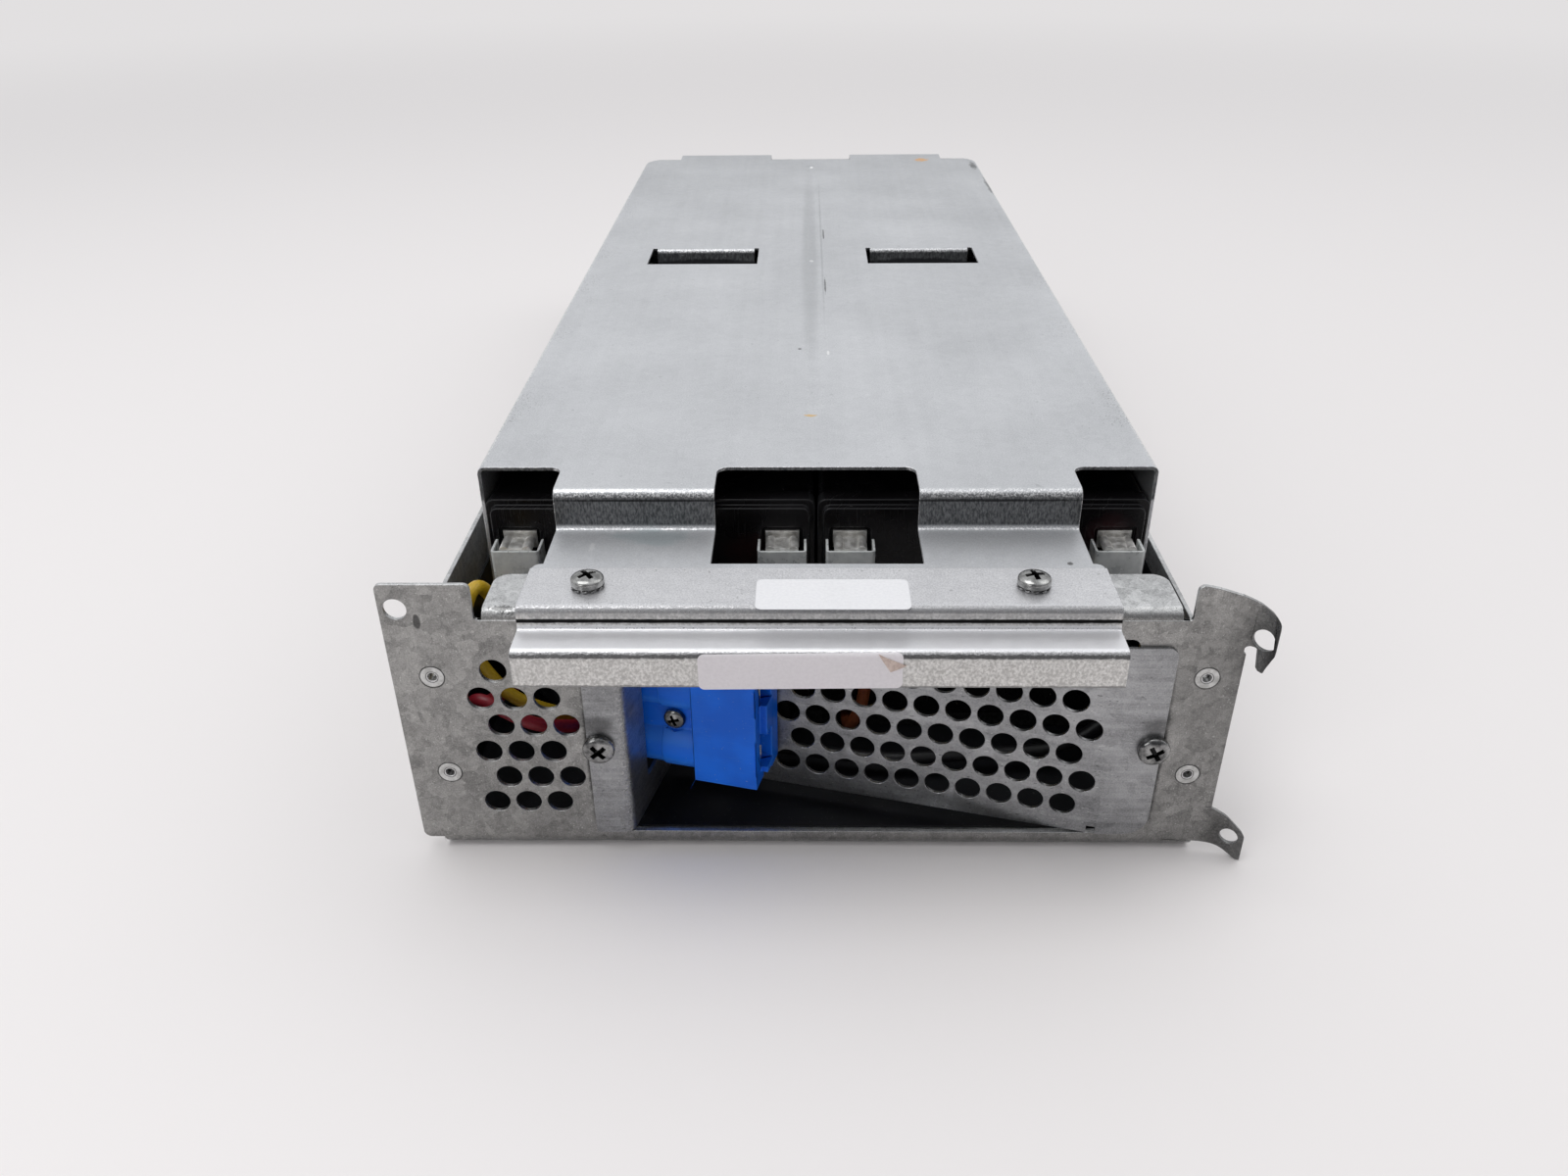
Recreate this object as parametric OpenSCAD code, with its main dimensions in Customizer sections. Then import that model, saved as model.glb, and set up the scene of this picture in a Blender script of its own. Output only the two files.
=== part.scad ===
// Slide-in battery module for a two-unit rack power supply. A folded steel tray carries
// eight sealed lead-acid batteries, two across and four deep, wired as two 48 V strings.
// Millimetres, +Z up, +Y towards the rear; origin at the middle of the tray's underside.

/* [Batteries] */
// Width of one battery
bat_w = 89.4; // [84:0.2:96]
// Height of one battery as it lies in the tray
bat_h = 70; // [66:1:74]
// Length of one battery from its base to the face of its lid
bat_l = 98; // [92:1:104]
// Thickness of a battery's lid
lid_l = 7.3; // [5:0.1:10]
// Distance of each terminal from the side of its battery
terminal_edge = 8.9; // [7:0.1:12]
// Height of the terminals above the battery's underside
terminal_h = 58.7; // [50:0.1:60]
// Length of the blade terminals
blade_l = 6.3; // [5.5:0.1:6.8]
// Width of the plate over a battery's valves
vent_w = 49.6; // [40:0.2:52]
// Height of the plate over a battery's valves
vent_h = 25.6; // [20:0.2:30]

/* [Spaces] */
// Gap between the two batteries of a row
bat_gap = 0.6; // [0.2:0.1:2]
// Wiring space between the front plate and the first lids
front_bay = 48.5; // [46:0.5:56]
// Space between the two halves, where the lids face each other
mid_bay = 15.5; // [15.3:0.1:20]
// Space behind the last lids
rear_bay = 11.6; // [11:0.1:18]
// Space over the batteries, under the cover
top_gap = 7.7; // [6:0.1:12]
// Wiring channel between the cover's flange and the tray's wall
channel_w = 5.7; // [5.2:0.1:9]
// Thickness of the foam under the batteries
foam_t = 4.8; // [4.6:0.1:7]
// Thickness of the foam sheets between the rows
row_pad_t = 1.5; // [1:0.1:3]
// Thickness of the insulation liner
liner_t = 0.5; // [0.3:0.1:0.8]
// Height of the liner's sides
liner_h = 48; // [30:1:50]

/* [Sheet metal] */
// Thickness of the tray's steel
tray_t = 1.2; // [1:0.1:1.5]
// Thickness of the cover's steel
cover_t = 1; // [0.8:0.1:1.2]
// Thickness of the handle's steel
handle_t = 1; // [0.8:0.1:1.4]
// Thickness of the connector bracket's steel
bracket_t = 1; // [0.8:0.1:1.2]
// Height of the tray's left wall
left_wall_h = 62.3; // [58:0.5:66]
// Height of the tray's right wall
right_wall_h = 54.3; // [50:0.5:62]

/* [Front plate] */
// Reach of the front plate's left flange past the tray's wall
flange_left = 5.3; // [4:0.1:9]
// Reach of the front plate's right flange past the tray's wall
flange_right = 3.4; // [2.5:0.1:5]
// Height of the front plate's two flanges
plate_h = 80.3; // [79:0.1:84]
// Height of the ledge folded back at the top of the plate
ledge_h = 73.25; // [72:0.25:75]
// Depth of the ledge
ledge_d = 17.5; // [15:0.5:22]
// Radius of the latch hole in the left flange
latch_hole_r = 2.8; // [2:0.1:3.2]
// Pitch of the round perforations
hole_pitch = 8.12; // [7.8:0.02:8.6]
// Diameter of the round perforations
hole_d = 6.6; // [5:0.1:7]

/* [Cover] */
// Half width of the cut-out in the middle of the cover's front
cover_cut = 26.4; // [23:0.2:30]
// Outer edge of the two stepped tabs
tab_outer = 68.1; // [64:0.1:69]
// How far the side flanges reach below the cover's top
flange_drop = 55; // [40:1:64]
// Length of the two slots, along the cover
slot_l = 24; // [20:0.5:26]

/* [Handle] */
// Half width of the handle
handle_half = 70.5; // [68.5:0.5:74]
// How far the handle's lip stands in front of the plate
handle_reach = 12; // [10:0.5:16]
// Height of the handle's lip
lip_h = 9.5; // [7:0.5:12]

/* [Connector] */
// Angle of the perforated panel that carries the connector
panel_angle = 14.1; // [12:0.1:15]
// Height of the middle of the connector above the tray's underside
conn_h = 32.7; // [30:0.1:36]
// Thickness of the connector's housing
conn_t = 16.2; // [15.6:0.2:17]
// Height of the connector's hood
hood_h = 34.6; // [33:0.2:38]

/* [Screws] */
// Diameter of the screws
screw_d = 4; // [3:0.1:4.2]
// Diameter of the screws' pan heads
head_d = 8; // [7:0.1:8.4]
// Height of the pan heads
head_h = 2.6; // [2:0.1:3]
// Diameter of the insulated wires
wire_d = 3.6; // [3:0.1:3.8]

/* [Hidden] */
$fn = 48;

fit = 0.1; // gap between neighbouring pieces
bend_steps = 8; // flats in each bend
eps = 0.01;

// Heights, from the tray's underside
liner_top = tray_t + liner_t;
bat_z = liner_top + foam_t;
bat_top = bat_z + bat_h;
cover_top = bat_top + top_gap + cover_t;
cover_mid = cover_top - cover_t / 2;
tab_mid = ledge_h + cover_t / 2;
handle_mid = ledge_h + cover_t + handle_t / 2;
stack_top = ledge_h + cover_t + handle_t;
terminal_z = bat_z + terminal_h;

// Widths, from the middle
pitch_x = bat_w + bat_gap;
cover_half = pitch_x + fit + cover_t;
tray_half = cover_half + channel_w + tray_t;

// Depths, from the front plate's outer face
lid_1 = tray_t + front_bay;
pair_l = 2 * bat_l + row_pad_t;
lid_2 = lid_1 + pair_l;
lid_3 = lid_2 + mid_bay;
lid_4 = lid_3 + pair_l;
tray_l = lid_4 + rear_bay + tray_t;
origin_y = tray_l / 2;
lid_y = [lid_1, lid_2, lid_3, lid_4];
facing = [-1, 1, -1, 1]; // the way each row's lids look: -1 is forwards

// Cover details, from the front plate's outer face
notch_y = lid_1 + 4.1;
step_y = lid_1 - 10;
strip_rear = ledge_d + 3.3;
cover_rear = lid_4 - 1.2;
rear_cut = 22;
rear_tab_outer = cover_half - 18.8;
slot_rear = lid_3 + 11.1;
slot_front = slot_rear - slot_l;
slot_x = pitch_x / 2;
slot_w = 44.9;
slot_relief = 1.9;
rib_start = lid_1 + 43;
rib_end = lid_4 - 20;
rib_r = 8;
rib_depth = 0.6;

// Front plate details
plate_left = tray_half + flange_left;
plate_right = tray_half + flange_right;
plate_r = 3.4; // middle radius of the bend into the floor
wing_z = 3.3; // lowest edge of the flanges
ledge_left = tray_half - 18.8;
ledge_right = tray_half - 12.8;
wing_left = tray_half - 17;
wing_right = tray_half - 10.5;
relief_z = ledge_h - 2.6;
mouth_left = tray_half - 47.2;
mouth_right = tray_half - 21.8;
mouth_z0 = 5.5;
mouth_z1 = 65.3;
first_hole = [-(tray_half - 23.66), 56.1];
latch_hole = [-(plate_left - 4), plate_h - 6.7];
rivet_x = tray_half - 4.6;
rivet_z = [25, 54.4];
rivet_r = 2.95;
rivet_neck = 1.65;
corner_tab_w = 9.2;
ear_start = tray_half + 0.3;

// Screw places
cover_screw_x = [-54.9, 51.3];
cover_screw_y = 8.2;
bracket_screw = [[-(mouth_left + 3.6), 33.9], [mouth_right + 7, 33.9]];
rear_screw_x = [-47, 47];
rear_screw_z = cover_top - 11.2;
nut_d = 8.4;
nut_h = 3;

// Connector bracket, from the corner where its panel meets the right flange
panel_corner = mouth_right - 3.6;
side_wall_u = 6.7 - mouth_left - panel_corner;
bracket_z0 = 5.9;
bracket_z1 = 63.5;
bracket_left = mouth_left + 6.5;
bracket_right = mouth_right + 9.2;
panel_hole = [-5.54, 46.64];
panel_notch = 2.2;

// Connector, along the panel
conn_back = side_wall_u - 14.8;
conn_screw_u = side_wall_u + 7.2;
hood_back = side_wall_u + 12.9;
hood_front = side_wall_u + 29.9;
key_front = side_wall_u + 31.8;
mate_front = side_wall_u + 31.5;
barrel_d = 15.8;
barrel_dz = (hood_h - barrel_d) / 2;
conn_screw_d = 3.4;
conn_head_d = 5.8;
panel_columns = floor((panel_hole[0] - mate_front) / hole_pitch + 0.3);

// Terminals and wiring
blade_w = 6.35;
blade_t = 0.8;
vent_z = 25; // middle of the valves' plate above the battery's underside
vent_t = 1;
sleeve_w = 13.2;
sleeve_d = 7.4;
sleeve_h = 13;
sleeve_t = 0.7;
wire_off = 3.7; // from a lid's face to the middle of its wires
wire_r = wire_d / 2;
under_z = liner_top + wire_r + 0.6;
channel_x = cover_half + channel_w / 2 - 0.2;
terminal_dx = bat_w / 2 - terminal_edge;
inner_x = pitch_x / 2 - terminal_dx;
outer_x = pitch_x / 2 + terminal_dx;
sleeve_z = terminal_z + 0.6 - sleeve_h;
crimp_z = terminal_z - 4.5;

function unit(v) = v / norm(v);
function left_of(v) = [-v[1], v[0]];
function turned(v, a) = [v[0] * cos(a) - v[1] * sin(a), v[0] * sin(a) + v[1] * cos(a)];

// Points, each with its left-hand normal, round the bend of radius r at b on the way from a to c
function bend(a, b, c, r) =
    let (u = unit(b - a), w = unit(c - b),
         turn = atan2(u[0] * w[1] - u[1] * w[0], u * w),
         side = turn < 0 ? -1 : 1,
         centre = b - u * r * tan(abs(turn) / 2) + left_of(u) * side * r)
    [for (k = [0:bend_steps]) let (n = turned(left_of(u), turn * k / bend_steps))
        [centre - n * side * r, n]];

// A closed outline through the points of p, its corners rounded by the radii of r
function rounded(p, r) =
    [for (i = [0:len(p) - 1])
        let (n = len(p))
        each r[i] == 0 ? [p[i]] : [for (q = bend(p[(i + n - 1) % n], p[i], p[(i + 1) % n], r[i])) q[0]]];

// Section of a sheet of thickness t whose middle line runs through p, bent with the radii of r
module sheet(p, r, t) {
    last = len(p) - 1;
    path = concat(
        [[p[0], left_of(unit(p[1] - p[0]))]],
        [for (i = [1:1:last - 1]) each bend(p[i - 1], p[i], p[i + 1], r[i - 1])],
        [[p[last], left_of(unit(p[last] - p[last - 1]))]]);
    polygon(concat(
        [for (q = path) q[0] + q[1] * t / 2],
        [for (i = [len(path) - 1:-1:0]) path[i][0] - path[i][1] * t / 2]));
}

// Sections drawn in X and Z, in Y and Z, or in X and Y, and carried along the third axis
module along_y(y0, y1) { translate([0, y1, 0]) rotate([90, 0, 0]) linear_extrude(y1 - y0) children(); }
module along_x(x0, x1) { translate([x0, 0, 0]) rotate([90, 0, 90]) linear_extrude(x1 - x0) children(); }
module along_side(side, x0, x1) { along_x(min(side * x0, side * x1), max(side * x0, side * x1)) children(); }
module along_z(z0, z1) { translate([0, 0, z0]) linear_extrude(z1 - z0) children(); }

// A box between two corners, and one with its four edges along Y rounded
module box(a, b) { translate(a) cube(b - a); }
module soft_square(a, b, r) { polygon(rounded([a, [b[0], a[1]], b, [a[0], b[1]]], r)); }
module soft_box(a, b, r) {
    along_y(a[1], b[1]) soft_square([a[0], a[2]], [b[0], b[2]], [r, r, r, r]);
}

// Puts what is measured from the front plate's face where the origin wants it
module from_front() { translate([0, -origin_y, 0]) children(); }

// Puts what is measured along the angled panel, from its right-hand corner, in the tray
module on_panel() {
    from_front() translate([panel_corner, -bracket_t, 0]) rotate([0, 0, -panel_angle]) children();
}

// A pan head screw that points down from the origin, with a cross recess
module pan_screw(length, d = screw_d, head = head_d) {
    dome_r = (head * head / 4 + head_h * head_h) / (2 * head_h);
    difference() {
        union() {
            translate([0, 0, -length]) cylinder(d = d, h = length + eps);
            intersection() {
                translate([0, 0, head_h - dome_r]) sphere(dome_r);
                cylinder(d = head, h = head_h);
            }
        }
        for (a = [45, 135]) rotate([0, 0, a]) {
            box([-head * 0.29, -head * 0.07, head_h * 0.4], [head * 0.29, head * 0.07, head_h + 1]);
        }
    }
}

// A self-clinching nut that stands on the origin, pointing up
module clinch_nut() {
    difference() {
        cylinder(d = nut_d, h = nut_h);
        translate([0, 0, -1]) cylinder(d = screw_d + 2 * fit, h = nut_h + 2);
    }
}

// Three columns of staggered holes to the left of the mouth
module plate_holes() {
    for (row = [0:5], col = [-1:1]) {
        shift = row % 2 == 0 ? 0.5 : 0;
        translate([first_hole[0] + (col + shift) * hole_pitch, 0, first_hole[1] - row * hole_pitch])
            rotate([90, 0, 0]) cylinder(d = hole_d, h = 20, center = true);
    }
}

// A hole square to the plate
module plate_hole(x, z, r) {
    translate([x, 0, z]) rotate([90, 0, 0]) cylinder(r = r, h = 20, center = true);
}

// An ear that curls forwards from the plate with the given inner radius, cut to an outline in X and Z
// whose X counts from the place where the curl starts
module ear(curl_r, sweep, outline, hole_angle, hole_z, hole_r) {
    mid_r = curl_r + tray_t / 2;
    corner = [mid_r * tan(sweep / 2), tray_t / 2];
    translate([ear_start, 0, 0]) difference() {
        intersection() {
            along_z(0, plate_h) sheet([[-9, tray_t / 2], corner,
                corner + turned([1, 0], -sweep) * (mid_r * tan(sweep / 2) + 0.5)], [mid_r], tray_t);
            along_y(-20, 5) polygon(outline);
        }
        translate([0, -curl_r, hole_z]) rotate([0, 0, -hole_angle]) translate([0, curl_r, 0])
            rotate([90, 0, 0]) cylinder(r = hole_r, h = 6, center = true);
    }
}

module upper_ear() {
    ear(8, 66, rounded([[-8, plate_h - 3], [-2, plate_h - 2.2], [4.2, plate_h - 4.7],
        [7.6, plate_h - 6.8], [7.6, plate_h - 16], [6.4, plate_h - 22.4], [5.5, plate_h - 22.2],
        [5, plate_h - 16.2], [2.3, plate_h - 16.2], [2.3, plate_h - 22], [-8, plate_h - 22]],
        [0, 8, 6, 3, 6, 0.3, 0.3, 1.2, 1.2, 0, 0]), 44.8, plate_h - 13.6, latch_hole_r);
}

module lower_ear() {
    ear(16, 44, rounded([[-8, 15], [2.9, 14.2], [7, 12.2], [11.1, 8.4], [11.1, 0], [10, 0],
        [5.9, 2.5], [-8, wing_z]],
        [0, 2, 6, 2, 0.5, 0.5, 8, 0]), 30, 6.4, 2.3);
}

module tray() {
    wall_x = tray_half - tray_t / 2;
    color("darkgray") from_front() difference() {
        union() {
            // Floor with its two walls
            along_y(plate_r + tray_t, tray_l - plate_r) sheet([[-wall_x, left_wall_h], [-wall_x, tray_t / 2],
                [wall_x, tray_t / 2], [wall_x, right_wall_h]], [2, 2], tray_t);
            // Bend from the floor up into the front plate
            along_x(-tray_half, tray_half) sheet([[tray_t / 2, mouth_z0], [tray_t / 2, tray_t / 2],
                [3 * plate_r, tray_t / 2]], [plate_r], tray_t);
            // Rear wall, narrower above the side walls
            intersection() {
                along_x(-tray_half, tray_half) sheet([[tray_l - 3 * plate_r, tray_t / 2],
                    [tray_l - tray_t / 2, tray_t / 2], [tray_l - tray_t / 2, cover_top]], [2], tray_t);
                along_y(0, tray_l + 1) rear_outline();
            }
            // Front ends of the walls, folded inwards behind the plate
            for (side = [-1, 1]) {
                along_z(8, 60) sheet([[side * wall_x, 12], [side * wall_x, tray_t * 1.5],
                    [side * (wall_x - corner_tab_w), tray_t * 1.5]], [1.6], tray_t);
            }
            front_plate();
            // Ledge folded back at the top of the plate
            intersection() {
                along_x(-ledge_left, ledge_right) sheet([[ledge_d, ledge_h - tray_t / 2],
                    [tray_t / 2, ledge_h - tray_t / 2], [tray_t / 2, relief_z - 2]], [2.2], tray_t);
                along_z(0, ledge_h) polygon(rounded([[-ledge_left, 0], [ledge_right, 0],
                    [ledge_right, ledge_d], [-ledge_left, ledge_d]], [0, 0, 4, 4]));
            }
            upper_ear();
            lower_ear();
        }
        plate_holes();
        plate_hole(latch_hole[0], latch_hole[1], latch_hole_r);
        for (p = bracket_screw) plate_hole(p[0], p[1], screw_d / 2 + fit);
        for (side = [-1, 1], z = rivet_z) translate([side * rivet_x, 0, z]) rotate([-90, 0, 0]) {
            translate([0, 0, -1]) cylinder(r = rivet_neck + fit / 2, h = 5);
            translate([0, 0, -eps]) cylinder(r1 = rivet_r + 0.2, r2 = rivet_neck + fit / 2, h = 0.8);
        }
        at_cover_screws(ledge_h) cylinder(r = screw_d / 2 + fit, h = 10, center = true);
        for (x = rear_screw_x) translate([x, tray_l, rear_screw_z]) rotate([90, 0, 0]) {
            cylinder(r = screw_d / 2 + fit, h = 10, center = true);
        }
    }
}

module rear_outline() {
    top = cover_top - cover_t - 1.5;
    half = cover_half - 2.8;
    polygon(rounded([[-tray_half, 0], [tray_half, 0], [tray_half, right_wall_h], [half, right_wall_h],
        [half, top], [-half, top], [-half, left_wall_h], [-tray_half, left_wall_h]],
        [0, 0, 0, 0, 2, 2, 0, 0]));
}

// The front plate: two flanges, a shoulder with relief notches beside the ledge, and the mouth
module front_plate() {
    difference() {
        along_y(0, tray_t) polygon(rounded([
            [-plate_left, wing_z], [-plate_left, plate_h], [-wing_left, plate_h], [-wing_left, relief_z],
            [wing_right, relief_z], [wing_right, plate_h], [ear_start - 6, plate_h - 1],
            [ear_start, plate_h - 3], [ear_start, plate_h - 17], [plate_right, plate_h - 19],
            [plate_right, wing_z], [tray_half, wing_z], [tray_half, mouth_z0 - eps],
            [-tray_half, mouth_z0 - eps], [-tray_half, wing_z]],
            [2, 1.5, 1.5, 0.8, 0.8, 1.5, 6, 0, 0, 0, 0.4, 0, 0, 0, 0]));
        along_y(-1, tray_t + 1) polygon(rounded([[-mouth_left, 0], [mouth_right, 0],
            [mouth_right, mouth_z1], [-mouth_left, mouth_z1]], [0, 0, 2, 2]));
    }
}

// Flush rivets that hold the walls' folded ends to the plate
module corner_rivets() {
    color("silver") from_front() for (side = [-1, 1], z = rivet_z) {
        translate([side * rivet_x, 0, z]) rotate([-90, 0, 0]) difference() {
            union() {
                cylinder(r1 = rivet_r, r2 = rivet_neck, h = 0.8);
                cylinder(r = rivet_neck, h = 2 * tray_t + 1.4);
                translate([0, 0, 2 * tray_t]) cylinder(r1 = 2.5, r2 = 2, h = 1.4);
            }
            translate([0, 0, -1]) cylinder(r = rivet_neck - 0.5, h = 8);
        }
    }
}

// The long bead pressed into the middle of the cover, as a body of radius r
module bead(r) {
    z = cover_top - rib_depth + rib_r;
    translate([0, rib_start, z]) sphere(r);
    translate([0, rib_end, z]) sphere(r);
    along_y(rib_start, rib_end) translate([0, z]) circle(r);
}

// The cover's outline seen from above, with the roots of its front tabs and its cut rear corners
module cover_plan() {
    edge = cover_half + 1;
    root = step_y + 3;
    polygon(rounded([[-edge, notch_y], [-tab_outer, notch_y], [-tab_outer, root], [-cover_cut, root],
        [-cover_cut, notch_y], [cover_cut, notch_y], [cover_cut, root], [tab_outer, root],
        [tab_outer, notch_y], [edge, notch_y], [edge, cover_rear - 9.5],
        [cover_half - 4.6, cover_rear], [4.6 - cover_half, cover_rear], [-edge, cover_rear - 9.5]],
        [0, 3, 0, 0, 3, 3, 0, 0, 3, 0, 0, 2, 2, 0]));
}

module top_cover() {
    flange_x = cover_half - cover_t / 2;
    flange_z = cover_top - flange_drop;
    hold_z = bat_top + fit + cover_t / 2;
    hold_y = slot_rear - 1.5;
    color("lightgray") from_front() difference() {
        union() {
            // Top with its two side flanges
            difference() {
                intersection() {
                    along_y(step_y, cover_rear) sheet([[-flange_x, flange_z], [-flange_x, cover_mid],
                        [flange_x, cover_mid], [flange_x, flange_z]], [1.5, 1.5], cover_t);
                    along_z(0, cover_top + 1) cover_plan();
                }
                for (side = [-1, 1]) translate([side * slot_x, 0, 0]) {
                    box([-slot_w / 2, slot_front, cover_mid - 2], [slot_w / 2, slot_rear, cover_mid + 2]);
                }
            }
            for (side = [-1, 1]) {
                // Stepped tab at the front
                along_side(side, cover_cut, tab_outer)
                    sheet([[notch_y + 1, cover_mid], [step_y, cover_mid], [step_y, tab_mid], [3, tab_mid]],
                        [2, 1.6], cover_t);
                // Tab folded down over the rear wall
                along_side(side, rear_cut, rear_tab_outer)
                    sheet([[cover_rear - 4, cover_mid], [tray_l + fit + cover_t / 2, cover_mid],
                        [tray_l + fit + cover_t / 2, cover_top - 18]], [2], cover_t);
                // Hold-down tab of the slot, on the third row's top edge
                along_x(side * slot_x - slot_w / 2 + slot_relief, side * slot_x + slot_w / 2 - slot_relief)
                    sheet([[slot_rear + 2, cover_mid], [hold_y, cover_mid], [hold_y, hold_z],
                        [lid_3 + 0.3, hold_z]], [1.5, 1.2], cover_t);
            }
            // Strip that joins the two tabs under the handle
            along_z(ledge_h, ledge_h + cover_t) polygon(rounded([[-handle_half, 3], [handle_half, 3],
                [handle_half, strip_rear], [-handle_half, strip_rear]], [0, 0, 2, 2]));
            intersection() {
                bead(rib_r + cover_t);
                box([-rib_r, rib_start - rib_r, cover_top - cover_t - rib_depth],
                    [rib_r, rib_end + rib_r, cover_mid]);
            }
        }
        bead(rib_r);
        at_cover_screws(tab_mid) cylinder(r = screw_d / 2 + 3 * fit, h = 6, center = true);
        for (x = rear_screw_x) translate([x, tray_l, rear_screw_z]) rotate([90, 0, 0]) {
            cylinder(r = screw_d / 2 + 3 * fit, h = 6, center = true);
        }
    }
}

// Pull handle: screwed on the ledge, it steps down in front of the plate and ends in a lip
module front_handle() {
    front_y = fit - handle_t - 0.6;
    shelf_z = handle_mid - 5.75;
    color("gainsboro") from_front() difference() {
        along_x(-handle_half, handle_half) sheet([[ledge_d - 0.5, handle_mid], [front_y, handle_mid],
            [front_y, shelf_z], [handle_t / 2 - handle_reach, shelf_z],
            [handle_t / 2 - handle_reach, shelf_z + handle_t / 2 - lip_h]], [1.5, 1.3, 1.8], handle_t);
        at_cover_screws(handle_mid) cylinder(r = screw_d / 2 + 3 * fit, h = 6, center = true);
    }
}

washer_t = 0.8;

module at_cover_screws(z) { for (x = cover_screw_x) translate([x, cover_screw_y, z]) children(); }

module cover_screws() {
    color("silver") from_front() for (x = cover_screw_x) {
        translate([x, cover_screw_y, stack_top + washer_t]) rotate([0, 0, x]) pan_screw(10);
    }
}

// External tooth washers under the handle's screws
module lock_washers() {
    teeth = 12;
    color("silver") from_front() at_cover_screws(stack_top) difference() {
        union() {
            cylinder(d = head_d - 1, h = washer_t);
            for (k = [0:teeth - 1]) rotate([0, 0, k * 360 / teeth]) rotate([12, 0, 0]) {
                box([0, -head_d * 0.08, 0.2], [head_d * 0.56, head_d * 0.08, 0.6]);
            }
        }
        translate([0, 0, -1]) cylinder(d = screw_d + 2 * fit, h = 3);
        translate([0, 0, -5]) cylinder(d = 3 * head_d, h = 5);
        translate([0, 0, washer_t]) cylinder(d = 3 * head_d, h = 5);
    }
}

// Corners of the bracket's middle line, seen from above, measured from the plate's face
function from_panel(u, n) = [panel_corner, -bracket_t] + turned([u, n], -panel_angle);
function where_y(a, b, y) = a + (b - a) * (y - a[1]) / (b[1] - a[1]);

module connector_bracket() {
    wall_line = side_wall_u - bracket_t / 2;
    flange_y = -bracket_t / 2;
    back = from_panel(wall_line, bracket_t / 2);
    left = where_y(from_panel(wall_line, 0), back, flange_y);
    right = where_y(from_panel(-20, bracket_t / 2), from_panel(0, bracket_t / 2), flange_y);
    color("darkgray") difference() {
        from_front() difference() {
            intersection() {
                along_z(bracket_z0, bracket_z1) sheet([[-bracket_left, flange_y], left, back, right,
                    [bracket_right, flange_y]], [3, 1.6, 5], bracket_t);
                along_y(-5, 60) polygon(rounded([[-bracket_left, bracket_z0], [bracket_right, bracket_z0],
                    [bracket_right, bracket_z1], [-bracket_left, bracket_z1]], [1, 6, 2.5, 1]));
            }
            plate_hole(bracket_screw[0][0], bracket_screw[0][1], screw_d / 2 + 2 * fit);
            plate_hole(bracket_screw[1][0], bracket_screw[1][1], screw_d / 2 + 2 * fit);
            box([bracket_screw[1][0], -5, bracket_screw[1][1] - screw_d / 2 - 2 * fit],
                [bracket_right + 1, 1, bracket_screw[1][1] + screw_d / 2 + 2 * fit]);
        }
        on_panel() {
            for (row = [0:4], col = [0:panel_columns - (row == 0 ? 2 : 1)]) {
                shift = row % 2 == 0 ? 0.5 : 0;
                translate([panel_hole[0] - (col + shift) * hole_pitch, 0, panel_hole[1] - row * hole_pitch])
                    rotate([90, 0, 0]) cylinder(d = hole_d, h = 6, center = true);
            }
            // Relief where the panel's lower edge meets its bend
            box([-panel_notch - 0.6, -3, bracket_z0 - 1], [-0.6, 3, bracket_z0 + panel_notch]);
            // Way through the side wall for the connector's back
            box([side_wall_u - 6, -conn_t - 0.5, conn_h - hood_h / 2 - 0.4],
                [side_wall_u + 0.8, 3, conn_h + hood_h / 2 + 0.4]);
            translate([conn_screw_u, 0, conn_h]) rotate([90, 0, 0]) {
                cylinder(d = conn_screw_d + 2 * fit, h = 6, center = true);
            }
        }
    }
}

module bracket_screws() {
    color("silver") from_front() for (p = bracket_screw) {
        translate([p[0], -bracket_t, p[1]]) rotate([90, 0, 0]) rotate([0, 0, p[0]]) pan_screw(8);
    }
}

module rear_screws() {
    color("silver") from_front() for (x = rear_screw_x) {
        translate([x, tray_l + fit + cover_t, rear_screw_z]) rotate([-90, 0, 0])
            rotate([0, 0, 2 * x]) pan_screw(6);
    }
}

// Nuts pressed in under the ledge, behind the front plate and inside the rear wall
module clinch_nuts() {
    color("dimgray") from_front() {
        at_cover_screws(ledge_h - tray_t) rotate([180, 0, 0]) clinch_nut();
        for (p = bracket_screw) translate([p[0], tray_t, p[1]]) rotate([-90, 0, 0]) clinch_nut();
        for (x = rear_screw_x) translate([x, tray_l - tray_t, rear_screw_z]) rotate([90, 0, 0]) clinch_nut();
    }
}

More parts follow.
